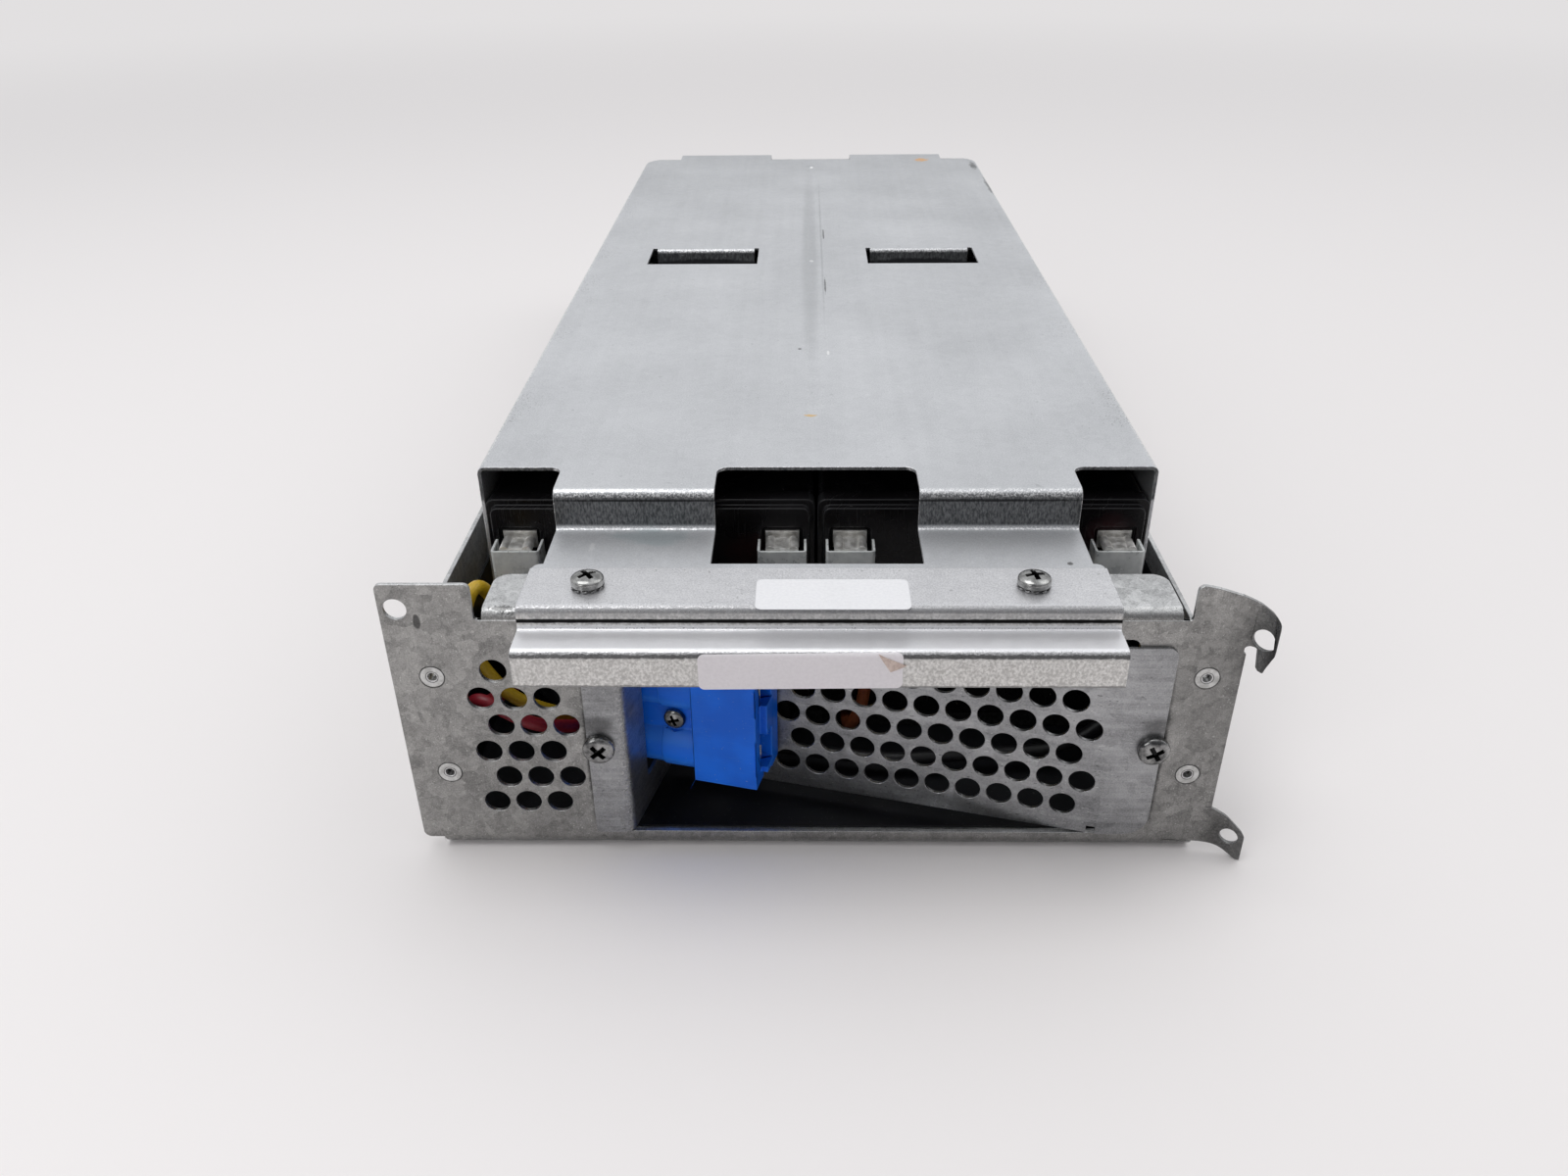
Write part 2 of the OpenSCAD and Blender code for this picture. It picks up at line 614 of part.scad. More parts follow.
// Two-pole housing: round barrels at the back, a hood, and keys round the contacts at the face
module connector_housing() {
    mid = conn_t / 2;
    half = hood_h / 2;
    web = mid - 3.4;
    slots = [[4.9 - half, -1.8], [7.2, half - 3.4]];
    keys = [[3.1 - half, slots[0][0]], [slots[0][1], slots[1][0]], [slots[1][1], half - 1.2]];
    color("royalblue") on_panel() translate([0, -mid, conn_h]) difference() {
        union() {
            for (side = [-1, 1]) translate([conn_back, 0, side * barrel_dz]) rotate([0, 90, 0]) {
                cylinder(d = barrel_d - 1, h = hood_back - conn_back + 1);
                translate([0, 0, side_wall_u - conn_back + 4])
                    cylinder(d = barrel_d, h = hood_back - side_wall_u - 3);
            }
            // Web between the barrels, and the foot on the panel
            box([conn_back + 8, -web, -barrel_dz], [hood_back + 1, mid, barrel_dz]);
            box([conn_back + 12, 0, -barrel_dz - 5], [hood_back + 1, mid, barrel_dz + 5]);
            // Hood: full height in front, shorter along the panel
            hood_block([hood_back, -mid, -half], [hood_front, key_d, half], 0.5);
            hood_block([hood_back, key_d - 1, -half], [hood_front - 5, mid, half], 0.5);
            // Face that meets the other half, cut into keys
            for (z = keys) {
                hood_block([hood_front - 6, key_d - 2.7, z[0]], [key_front, plate_d + 0.5, z[1]], 0.3);
            }
            hood_block([hood_front - 6, plate_d, 1.2 - half], [mate_front, mid - 1, half - 1.2], 0.3);
        }
        for (side = [-1, 1]) translate([0, 0, side * barrel_dz]) {
            translate([conn_back - 1, 0, 0]) rotate([0, 90, 0]) cylinder(d = 9.6, h = 22);
            box([conn_back + 20, -4.2, -4.4], [hood_front - 7, 4.2, 4.4]);
        }
        for (z = slots) box([hood_front - 8, key_d - 3.2, z[0]], [key_front + 1, plate_d, z[1]]);
        translate([conn_screw_u, -web, 0]) rotate([90, 0, 0]) {
            cylinder(d = conn_head_d + 2, h = 10);
            translate([0, 0, -conn_t]) cylinder(d = conn_screw_d + 2 * fit, h = conn_t + 5);
        }
    }
}

// From the middle of the housing: the back of the hood's front wall, and the plate behind the contacts
key_d = -1.2;
plate_d = 1.1;
tip_half = 2.1; // half width of a contact's tip

// A block with its four edges along the panel eased
module hood_block(a, b, r) {
    along_x(a[0], b[0]) soft_square([a[1], a[2]], [b[1], b[2]], [r, r, r, r]);
}

// Silver-plated contacts: a crimp barrel and a tongue with a turned-up tip
module connector_contacts() {
    color("silver") on_panel() translate([0, -conn_t / 2, conn_h]) for (side = [-1, 1]) {
        translate([0, 0, side * barrel_dz]) {
            difference() {
                translate([conn_back + 3, 0, 0]) rotate([0, 90, 0]) cylinder(d = 9.4, h = 14);
                translate([conn_back + 2, 0, 0]) rotate([0, 90, 0]) cylinder(d = 8.2, h = 12);
            }
            box([conn_back + 16, -1, -3.8], [hood_front - 7.2, 1, 3.8]);
            along_z(-tip_half, tip_half) sheet([[hood_front - 8, 0.2], [hood_front - 4, 0.2],
                [hood_front - 0.9, -2]], [1.6], 1.4);
        }
    }
}

// Leaf springs that press the contacts forwards from behind
module contact_springs() {
    color("gray") on_panel() translate([0, -conn_t / 2, conn_h]) for (side = [-1, 1]) {
        translate([0, 0, side * barrel_dz]) along_z(-3.4, 3.4) sheet([[conn_back + 21, 3.85],
            [hood_back + 2, 3.85], [hood_front - 10.5, 1.35], [hood_front - 7.6, 1.35]], [3, 3], 0.6);
    }
}

module connector_screw() {
    color("silver") on_panel() translate([conn_screw_u, 3.4 - conn_t, conn_h]) rotate([90, 0, 0])
        rotate([0, 0, 20]) pan_screw(conn_t + 2, conn_screw_d, conn_head_d);
}

module connector_nut() {
    color("dimgray") on_panel() translate([conn_screw_u, bracket_t, conn_h]) rotate([-90, 0, 0]) {
        difference() {
            cylinder(d = 7, h = 2.6, $fn = 6);
            translate([0, 0, -1]) cylinder(d = conn_screw_d + 2 * fit, h = 5);
        }
    }
}

// Black plastic sheet on the floor and up the walls
module insulation_liner() {
    side_x = tray_half - tray_t - liner_t / 2;
    mid_z = tray_t + liner_t / 2;
    color("black") from_front() along_y(plate_r + tray_t + 2, tray_l - tray_t - 2.5)
        sheet([[-side_x, liner_h], [-side_x, mid_z], [side_x, mid_z], [side_x, liner_h]], [2, 2], liner_t);
}

// Foam under the batteries, in three strips that leave two ways for the wires
module base_foam() {
    way = wire_r + 0.5;
    color("dimgray") from_front() for (edge = [[-pitch_x, -inner_x - way], [-inner_x + way, inner_x - way],
            [inner_x + way, pitch_x]]) {
        box([edge[0], lid_1 + 1, liner_top], [edge[1], lid_4 - 1, bat_z]);
    }
}

// Foam between the backs of each pair of rows
module row_pads() {
    color("dimgray") from_front() for (y = [lid_1 + bat_l, lid_3 + bat_l]) {
        box([1 - pitch_x, y, bat_z + 4], [pitch_x - 1, y + row_pad_t, bat_top - 4]);
    }
}

// Foam strips between the batteries and the cover
module top_foam() {
    strips = [[notch_y + 14, lid_2 - 14], [slot_rear + 12, lid_4 - 14]];
    color("dimgray") from_front() for (x = [-pitch_x / 2, pitch_x / 2], y = strips) {
        box([x - 14, y[0], bat_top], [x + 14, y[1], bat_top + top_gap]);
    }
}

// Row 0 to 3 and side -1 or 1 of battery n, counted from the front left
function row_of(n) = floor((n - 1) / 2);
function side_of(n) = n % 2 == 1 ? -1 : 1;

// Puts one battery, drawn with its lid's face at the origin and its body towards +Y, in its place
module battery_place(n) {
    row = row_of(n);
    from_front() translate([side_of(n) * pitch_x / 2, lid_y[row], bat_z])
        rotate([0, 0, facing[row] < 0 ? 0 : 180]) children();
}

// Ribbed case with eased edges and a shallow panel on its two large faces
module battery_case(n) {
    half = bat_w / 2;
    color([0.1, 0.1, 0.11]) battery_place(n) difference() {
        soft_box([0.4 - half, lid_l, 0], [half - 0.4, bat_l, bat_h - 0.5], 2);
        soft_box([14 - half, lid_l + 12, bat_h - 1], [half - 14, bat_l - 12, bat_h + 1], 0.5);
    }
}

// Lid with a raised rim, two terminal wells and the seat of the vent cover
module battery_lid(n) {
    half = bat_w / 2;
    color([0.14, 0.14, 0.15]) battery_place(n) difference() {
        union() {
            soft_box([-half, 2.2, 0], [half, lid_l, bat_h], 2.4);
            soft_box([1.6 - half, 0, 1.6], [half - 1.6, 2.3, bat_h - 1.6], 2);
        }
        for (side = [-1, 1]) {
            translate([side * terminal_dx, 0, terminal_h]) soft_box([-5.6, -1, -4], [5.6, 1.6, 4], 1);
        }
        translate([0, 0, vent_z]) vent_seat(vent_w / 2 + 2 * fit, vent_h / 2 + 2 * fit, -1);
    }
}

// The plate over the valves, or its seat, from the given depth down to its bed
module vent_seat(half_w, half_h, front) {
    soft_box([-half_w, front, -half_h], [half_w, vent_t, half_h], 2);
}

// Plates over the pressure valves
module vent_covers() {
    slits = 6;
    pitch = vent_w / slits;
    color([0.1, 0.1, 0.11]) for (n = [1:8]) battery_place(n) translate([0, 0, vent_z]) difference() {
        vent_seat(vent_w / 2, vent_h / 2, 0);
        for (k = [0:slits - 1]) translate([(k - (slits - 1) / 2) * pitch, 0, 0]) {
            box([-0.6, -1, 4 - vent_h / 2], [0.6, vent_t / 2, vent_h / 2 - 4]);
        }
    }
}

// A blade terminal with its locking hole, standing in its well
module blade(side) {
    translate([side * terminal_dx, 0, terminal_h]) difference() {
        union() {
            box([-blade_w / 2, -blade_l, -blade_t / 2], [blade_w / 2, 1.6, blade_t / 2]);
            box([-4.6, 0.8, -2.6], [4.6, 1.6, 2.6]);
        }
        translate([0, -blade_l + 2.4, 0]) cylinder(r = 0.8, h = 3, center = true);
    }
}

module positive_blades() {
    color("khaki") for (n = [1:8]) battery_place(n) blade(-1);
}

module negative_blades() {
    color("khaki") for (n = [1:8]) battery_place(n) blade(1);
}

// Flag receptacles: a folded channel on the blade, with its crimp barrel pointing down
module blade_receptacles() {
    color("darkkhaki") for (n = [1:8], side = [-1, 1]) battery_place(n) {
        translate([side * terminal_dx, 0, terminal_h]) difference() {
            union() {
                box([-3.2, -blade_l - 0.5, -1.1], [3.2, -0.5, 1.1]);
                // Rolled edges that hold the blade
                for (x = [-3.05, 3.05]) along_y(-blade_l - 0.5, -0.5) translate([x, 0.45]) circle(1.35);
                translate([0, -wire_off, -9]) cylinder(r = wire_r + 0.55, h = 8.4);
            }
            box([-blade_w / 2 - fit, -blade_l - fit, -blade_t / 2 - fit],
                [blade_w / 2 + fit, 1, blade_t / 2 + fit]);
            translate([0, -wire_off, -12]) cylinder(r = wire_r + fit, h = 12 + crimp_z - terminal_z + fit);
        }
    }
}

// Translucent sleeves round the receptacles, open above, below and to the lid
module terminal_sleeves() {
    color([0.85, 0.86, 0.84, 0.6]) for (n = [1:8], side = [-1, 1]) battery_place(n) {
        translate([side * terminal_dx, 0, sleeve_z - bat_z]) difference() {
            along_z(0, sleeve_h) soft_square([-sleeve_w / 2, -sleeve_d - 0.2], [sleeve_w / 2, -0.2],
                [1.2, 1.2, 0.3, 0.3]);
            box([sleeve_t - sleeve_w / 2, sleeve_t - sleeve_d - 0.2, -3],
                [sleeve_w / 2 - sleeve_t, 1, sleeve_h + 1]);
        }
    }
}

// Middle line of a wire: the route's points, each corner eased over the length c
function eased(p, c) = concat([p[0]],
    [for (i = [1:len(p) - 2])
        let (a = p[i] + unit(p[i - 1] - p[i]) * min(c, norm(p[i - 1] - p[i]) / 2.05),
             b = p[i] + unit(p[i + 1] - p[i]) * min(c, norm(p[i + 1] - p[i]) / 2.05))
        each [for (t = [0, 1 / 3, 2 / 3, 1]) a * (1 - t) * (1 - t) + p[i] * 2 * t * (1 - t) + b * t * t]],
    [p[len(p) - 1]]);

// Directions along a line, and a side-pointing normal carried along them without twist
function ways(p) = [for (i = [0:len(p) - 1])
    unit(p[min(i + 1, len(p) - 1)] - p[max(i - 1, 0)])];
function carried(t) = [for (i = 0, n = unit(cross(t[0], [0.3, 0.5, 0.8])); i < len(t);
    i = i + 1, n = i < len(t) ? unit(n - t[i] * (n * t[i])) : n) n];

// Round wire along a route
module wire(route) {
    sides = 8;
    line = eased(route, 7);
    t = ways(line);
    n = carried(t);
    rings = len(line);
    points = [for (i = [0:rings - 1], k = [0:sides - 1])
        line[i] + wire_r * (n[i] * cos(360 * k / sides) + cross(t[i], n[i]) * sin(360 * k / sides))];
    from_front() polyhedron(points, concat(
        [[for (k = [sides - 1:-1:0]) k]],
        [for (i = [0:rings - 2], k = [0:sides - 1])
            let (next = (k + 1) % sides)
            [i * sides + k, i * sides + next, (i + 1) * sides + next, (i + 1) * sides + k]],
        [[for (k = [0:sides - 1]) (rings - 1) * sides + k]]), convexity = 6);
}

// Where a terminal's wire starts, in its receptacle, and where it leaves the sleeve
function in_sleeve(x, row) = [x, lid_y[row] + facing[row] * wire_off, crimp_z];
function below_sleeve(x, row) = [x, lid_y[row] + facing[row] * wire_off, sleeve_z - 6];
function under(x, row) = [x, lid_y[row] + facing[row] * wire_off, under_z];

// Where a wire enters the connector: side 1 is the upper pole, off moves it across the barrel
function in_connector(side, off, u) = let (p = from_panel(u, off - conn_t / 2))
    [p[0], p[1], conn_h + side * barrel_dz];

// Routes of the wires, with round points chosen by hand
pole_off = 2.1;
behind_u = conn_back - 5.5;
crimp_u = conn_back + 9.5;
route_front_left = [in_sleeve(-outer_x, 0), below_sleeve(-outer_x, 0), [-80, 38, 28], [-90, 21, 30],
    [-89, 12.5, 38], [-85.5, 9.5, 41], [-79, 9, 37], [-73, 9.8, 32.7], [-66, 16, 27.5],
    in_connector(-1, -pole_off, behind_u), in_connector(-1, -pole_off, crimp_u)];
route_front_right = [in_sleeve(outer_x, 0), below_sleeve(outer_x, 0), [78, 38, 38], [60, 39, 37], [0, 40, 36],
    [-45, 41, 36], [-62, 38, 38], [-69, 31, 42],
    in_connector(1, pole_off, behind_u), in_connector(1, pole_off, crimp_u)];
route_side_left = [in_sleeve(-outer_x, 2), below_sleeve(-outer_x, 2), [-outer_x, lid_3 - 4, 20],
    [-channel_x, lid_3 - 4, 20], [-channel_x, 120, 30], [-channel_x, 66, 34], [-90, 48, 44], [-84, 30, 58],
    [-86, 21.5, 69], [-89, 16.5, 62], [-87.5, 15, 51.5], [-83.8, 15, 44], [-79, 15, 37.5], [-71, 17, 32],
    [-66, 22, 27], in_connector(-1, pole_off, behind_u), in_connector(-1, pole_off, crimp_u)];
route_side_right = [in_sleeve(outer_x, 2), below_sleeve(outer_x, 2), [outer_x, lid_3 - 4, 20],
    [channel_x, lid_3 - 4, 20], [channel_x, 60, 20], [90, 44, 14], [70, 32, 8], [20, 28, 7], [-30, 36, 8],
    [-62, 40, 12], [-76, 38, 22], [-77, 31, 36], [-70, 25, 42],
    in_connector(1, -pole_off, behind_u), in_connector(1, -pole_off, crimp_u)];

module wire_front_left() { color("firebrick") wire(route_front_left); }
module wire_front_right() { color("gold") wire(route_front_right); }
module wire_side_left() { color("gold") wire(route_side_left); }
module wire_side_right() { color([0.08, 0.08, 0.08]) wire(route_side_right); }

// A link from a lid, down and under its two batteries, to the lid at their far end
module under_link(x, row) {
    wire([in_sleeve(x, row), under(x, row), under(x, row + 1), in_sleeve(x, row + 1)]);
}

module link_front_left() { color([0.08, 0.08, 0.08]) under_link(-inner_x, 0); }

// The front right link bows out before it dives under its batteries
module link_front_right() {
    color("sienna") wire([in_sleeve(inner_x, 0), below_sleeve(inner_x, 0), [inner_x + 5, lid_1 - 4.7, 32],
        [inner_x + 5, lid_1 - 4.7, 14], [inner_x, lid_1 - 5, under_z], under(inner_x, 1),
        in_sleeve(inner_x, 1)]);
}

module link_rear_left() { color("sienna") under_link(-inner_x, 2); }
module link_rear_right() { color("sienna") under_link(inner_x, 2); }

// A link across a bay, from the left string to the right one
module cross_link(row, y, z) {
    wire([in_sleeve(-outer_x, row), below_sleeve(-outer_x, row), [-outer_x + 2, y, z], [-outer_x + 16, y, z],
        [outer_x - 16, y, z], [outer_x - 2, y, z], below_sleeve(outer_x, row), in_sleeve(outer_x, row)]);
}

module link_middle() { color([0.08, 0.08, 0.08]) cross_link(1, lid_2 + mid_bay / 2, 30); }
module link_rear() { color([0.08, 0.08, 0.08]) cross_link(3, lid_4 + wire_off + wire_d + 0.4, 30); }

tray();
corner_rivets();
top_cover();
front_handle();
cover_screws();
lock_washers();
connector_bracket();
bracket_screws();
rear_screws();
clinch_nuts();
connector_housing();
connector_contacts();
contact_springs();
connector_screw();
connector_nut();
insulation_liner();
base_foam();
row_pads();
top_foam();
battery_case(1);  // battery_case_1
battery_case(2);  // battery_case_2
battery_case(3);  // battery_case_3
battery_case(4);  // battery_case_4
battery_case(5);  // battery_case_5
battery_case(6);  // battery_case_6
battery_case(7);  // battery_case_7
battery_case(8);  // battery_case_8
battery_lid(1);  // battery_lid_1
battery_lid(2);  // battery_lid_2
battery_lid(3);  // battery_lid_3
battery_lid(4);  // battery_lid_4
battery_lid(5);  // battery_lid_5
battery_lid(6);  // battery_lid_6
battery_lid(7);  // battery_lid_7
battery_lid(8);  // battery_lid_8
vent_covers();
positive_blades();
negative_blades();
blade_receptacles();
terminal_sleeves();
wire_front_left();
wire_front_right();
wire_side_left();
wire_side_right();
link_front_left();
link_front_right();
link_rear_left();
link_rear_right();
link_middle();
link_rear();
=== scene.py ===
import math

import bmesh
import bpy
import numpy as np
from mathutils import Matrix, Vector


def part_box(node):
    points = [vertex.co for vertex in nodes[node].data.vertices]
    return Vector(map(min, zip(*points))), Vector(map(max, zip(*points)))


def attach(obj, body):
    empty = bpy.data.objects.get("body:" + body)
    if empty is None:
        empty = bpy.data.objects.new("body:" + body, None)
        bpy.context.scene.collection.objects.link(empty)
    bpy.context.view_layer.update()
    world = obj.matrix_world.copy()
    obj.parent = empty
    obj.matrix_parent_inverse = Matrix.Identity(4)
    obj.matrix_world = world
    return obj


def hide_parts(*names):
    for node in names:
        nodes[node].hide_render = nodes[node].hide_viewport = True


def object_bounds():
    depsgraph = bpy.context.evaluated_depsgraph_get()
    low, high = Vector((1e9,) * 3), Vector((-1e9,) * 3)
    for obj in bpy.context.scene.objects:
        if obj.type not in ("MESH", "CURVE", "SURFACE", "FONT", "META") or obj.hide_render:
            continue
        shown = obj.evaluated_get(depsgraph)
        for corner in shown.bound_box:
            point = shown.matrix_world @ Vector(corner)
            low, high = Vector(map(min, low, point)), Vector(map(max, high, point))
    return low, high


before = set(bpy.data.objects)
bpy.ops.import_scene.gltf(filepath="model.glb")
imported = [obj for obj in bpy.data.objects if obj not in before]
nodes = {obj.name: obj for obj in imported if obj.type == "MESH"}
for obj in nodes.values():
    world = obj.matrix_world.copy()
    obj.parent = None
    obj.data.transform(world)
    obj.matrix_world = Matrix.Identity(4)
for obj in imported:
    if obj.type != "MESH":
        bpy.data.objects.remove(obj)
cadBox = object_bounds()
mm = 0.001
plateY = cadBox[0][1] + 0.012  # the front plate's outer face, 12 mm behind the handle's lip
origin = (0.0, 0.0, 0.0)
half = (0.5, 0.5, 0.5)


def place(x, fromPlate, z):
    # A point in millimetres, measured from the middle, the plate's outer face and the underside
    return (x * mm, plateY + fromPlate * mm, z * mm)


def paint(colour):
    # A colour with full opacity; a single number is a grey
    return (*colour, 1) if isinstance(colour, tuple) else (colour, colour, colour, 1)


def put(tree, kind, inputs=None, **settings):
    # One shader node; a socket among the inputs is linked, anything else is set
    node = tree.nodes.new("ShaderNode" + kind)
    for name, value in settings.items():
        setattr(node, name, value)
    for name, value in (inputs or {}).items():
        if isinstance(value, bpy.types.NodeSocket):
            tree.links.new(value, node.inputs[name])
        else:
            node.inputs[name].default_value = value
    return node


def maths(tree, operation, first, second=0.0, third=0.0, clamp=False):
    inputs = {0: first, 1: second, 2: third}
    return put(tree, "Math", inputs, operation=operation, use_clamp=clamp).outputs[0]


def times(tree, first, second):
    return maths(tree, "MULTIPLY", first, second)


def timesPlus(tree, first, second, third):
    return maths(tree, "MULTIPLY_ADD", first, second, third)


def vectors(tree, operation, first, second=(0, 0, 0)):
    return put(tree, "VectorMath", {0: first, 1: second}, operation=operation).outputs["Vector"]


def stretched(tree, vector, scale):
    # The vector times a number, which may come from a socket
    return put(tree, "VectorMath", {0: vector, "Scale": scale}, operation="SCALE").outputs["Vector"]


def lengthOf(tree, vector):
    return put(tree, "VectorMath", {0: vector}, operation="LENGTH").outputs["Value"]


def split(tree, vector):
    return put(tree, "SeparateXYZ", {0: vector}).outputs


def stepped(tree, value, low, high, first=0.0, last=1.0):
    # Smooth rise from first to last while value goes from low to high
    inputs = {0: value, 1: low, 2: high, 3: first, 4: last}
    return put(tree, "MapRange", inputs, interpolation_type="SMOOTHSTEP").outputs[0]


def noise(tree, vector, scale=1.0, detail=3.0, roughness=0.55, output="Fac"):
    inputs = {"Vector": vector, "Scale": scale, "Detail": detail, "Roughness": roughness}
    return put(tree, "TexNoise", inputs).outputs[output]


noiseSpan = (0.3, 0.7)  # nearly all noise values lie between these
noiseCore = (0.35, 0.65)  # and most between these


def blended(tree, factor, first, second, mode="MIX"):
    # From the first colour to the second; either may be a socket
    first, second = (c if isinstance(c, bpy.types.NodeSocket) else paint(c) for c in (first, second))
    inputs = {0: factor, 6: first, 7: second}
    return put(tree, "Mix", inputs, data_type="RGBA", blend_type=mode).outputs[2]


def startMaterial(name, settings):
    # A material whose shader has its plain values set, and its object position in metres
    material = bpy.data.materials.new(name)
    material.use_nodes = True
    tree = material.node_tree
    shader = tree.nodes["Principled BSDF"]
    for socket, value in settings.get("plain", {}).items():
        shader.inputs[socket].default_value = value
    return tree, shader, put(tree, "TexCoord").outputs["Object"]


print("stage: camera, floor and light")

cameraSettings = {
    "place": (-0.00306, -0.47518, 0.22064),
    "turn": (59.414, 0.485, 0.866),
    "lens": 27.62,
    "sensor": 36,
    "clip": (0.01, 30),
}


def makeCamera(settings):
    data = bpy.data.cameras.new("camera")
    data.sensor_width = settings["sensor"]
    data.lens = settings["lens"]
    data.clip_start, data.clip_end = settings["clip"]
    camera = bpy.data.objects.new("camera", data)
    camera.location = settings["place"]
    camera.rotation_euler = [math.radians(angle) for angle in settings["turn"]]
    bpy.context.scene.collection.objects.link(camera)
    bpy.context.scene.camera = camera


stageSettings = {
    "floorSize": 14,
    "floorDrop": 0.0002,
    "plain": {"Base Color": (0.86, 0.83, 0.822, 1), "Roughness": 0.55},
    "backdrop": (0.76, 0.745, 0.75),
    "fade": (0.55, 2.1),
    "world": (0.97, 0.98, 1.0),
    "dimWorld": (0.3, 0.3, 0.315),
    "brightWay": (0.0, 0.75, 0.66),
    "brightRange": (-0.25, 0.6),
    "worldStrength": 0.8,
    "aim": (0, -0.05, 0.04),
    "lamps": {
        "key": {"place": (-0.5, -0.25, 1.5), "size": 1.1, "power": 7.6},
        "fill": {"place": (1.2, 0.2, 1.3), "size": 1.4, "power": 4.0},
        "front": {"place": (-0.9, -1.3, 0.7), "size": 0.7, "power": 2.8},
    },
}


def makeFloor(settings):
    # Far away the floor turns into the backdrop, for the camera and for reflections
    tree, shader, position = startMaterial("floorPaper", settings)
    rays = put(tree, "LightPath").outputs
    seen = maths(tree, "MAXIMUM", rays["Is Camera Ray"], rays["Is Glossy Ray"])
    share = times(tree, seen, stepped(tree, lengthOf(tree, position), *settings["fade"]))
    glow = put(tree, "Emission", {"Color": paint(settings["backdrop"])})
    mixed = put(tree, "MixShader", {0: share, 1: shader.outputs[0], 2: glow.outputs[0]})
    tree.links.new(mixed.outputs[0], tree.nodes["Material Output"].inputs["Surface"])
    mesh = bpy.data.meshes.new("floor")
    size = settings["floorSize"]
    corners = [(-size, -size, 0), (size, -size, 0), (size, size, 0), (-size, size, 0)]
    mesh.from_pydata(corners, [], [(0, 1, 2, 3)])
    mesh.materials.append(bpy.data.materials["floorPaper"])
    floor = bpy.data.objects.new("floor", mesh)
    floor.location.z = cadBox[0][2] - settings["floorDrop"]
    bpy.context.scene.collection.objects.link(floor)


def makeLamp(name, settings, aim):
    data = bpy.data.lights.new(name, "AREA")
    data.shape = "DISK"
    data.size = settings["size"]
    data.energy = settings["power"]
    lamp = bpy.data.objects.new(name, data)
    lamp.location = settings["place"]
    lamp.rotation_euler = (Vector(aim) - lamp.location).to_track_quat("-Z", "Y").to_euler()
    bpy.context.scene.collection.objects.link(lamp)


def makeWorld(settings):
    # Light that is brightest high behind the object and dim in front, and for the camera a
    # plain backdrop past the floor
    world = bpy.data.worlds.new("studio")
    world.use_nodes = True
    tree = world.node_tree
    inputs = {0: put(tree, "TexCoord").outputs["Generated"], 1: settings["brightWay"]}
    way = put(tree, "VectorMath", inputs, operation="DOT_PRODUCT").outputs["Value"]
    low, high = settings["brightRange"]
    tone = put(tree, "MapRange", {0: way, 1: low, 2: high}).outputs[0]
    light = tree.nodes["Background"]
    light.inputs["Strength"].default_value = settings["worldStrength"]
    tree.links.new(blended(tree, tone, settings["dimWorld"], settings["world"]), light.inputs["Color"])
    backdrop = put(tree, "Background", {"Color": paint(settings["backdrop"])})
    seen = put(tree, "LightPath").outputs["Is Camera Ray"]
    choice = put(tree, "MixShader", {0: seen, 1: light.outputs[0], 2: backdrop.outputs[0]})
    tree.links.new(choice.outputs[0], tree.nodes["World Output"].inputs["Surface"])
    bpy.context.scene.world = world


makeCamera(cameraSettings)
makeFloor(stageSettings)
makeWorld(stageSettings)
for lampName, lampSettings in stageSettings["lamps"].items():
    makeLamp(lampName, lampSettings, stageSettings["aim"])
bpy.context.scene.view_settings.view_transform = "Standard"

print("stage: shared effects")


def makeGroup(name, inputs, build, look):
    # A node group; inputs map names to starting values, and build gives the named outputs
    tree = bpy.data.node_groups.new(name, "ShaderNodeTree")
    for label, value in inputs.items():
        kind = "NodeSocketVector" if isinstance(value, tuple) else "NodeSocketFloat"
        tree.interface.new_socket(label, in_out="INPUT", socket_type=kind).default_value = value
    results = build(tree, tree.nodes.new("NodeGroupInput").outputs, look)
    for label in results:
        kind = "NodeSocketVector" if label == "Normal" else "NodeSocketFloat"
        tree.interface.new_socket(label, in_out="OUTPUT", socket_type=kind)
    ends = tree.nodes.new("NodeGroupOutput").inputs
    for label, socket in results.items():
        tree.links.new(socket, ends[label])
    return tree


def useGroup(tree, group, inputs):
    return put(tree, "Group", inputs, node_tree=group).outputs


def inSteps(tree, position, step):
    # A position in metres, counted in steps of so many millimetres
    return stretched(tree, position, maths(tree, "DIVIDE", 1000.0, step))


def turnedBy(tree, vector, angle):
    return put(tree, "VectorRotate", {"Vector": vector, "Angle": angle}, rotation_type="Z_AXIS").outputs[0]


def pushed(tree, vector, source, amount, scale, detail):
    # The vector pushed about by coloured noise, which is read at the source
    wander = vectors(tree, "SUBTRACT", noise(tree, source, scale, detail, output="Color"), half)
    return vectors(tree, "ADD", vector, stretched(tree, wander, amount))


def zincCrystals(tree, given, look):
    # Zinc crystals: each cell of a cell pattern has its own tone and leans its own way.
    # Cell is its size in mm, Feather how ragged its edges are, Lean how far it tips.
    spread = inSteps(tree, given["Position"], given["Cell"])
    bent = pushed(tree, spread, spread, given["Feather"], *look["wander"])
    large, small = (put(tree, "TexVoronoi", {"Vector": bent, "Scale": scale}).outputs["Color"]
                    for scale in (1.0, look["finer"]))
    tone = times(tree, split(tree, large)[0], look["largeShare"])
    lean = stretched(tree, vectors(tree, "SUBTRACT", large, half), given["Lean"])
    tipped = vectors(tree, "ADD", put(tree, "NewGeometry").outputs["Normal"], lean)
    return {"Tone": timesPlus(tree, split(tree, small)[0], look["smallShare"], tone),
            "Normal": vectors(tree, "NORMALIZE", tipped)}


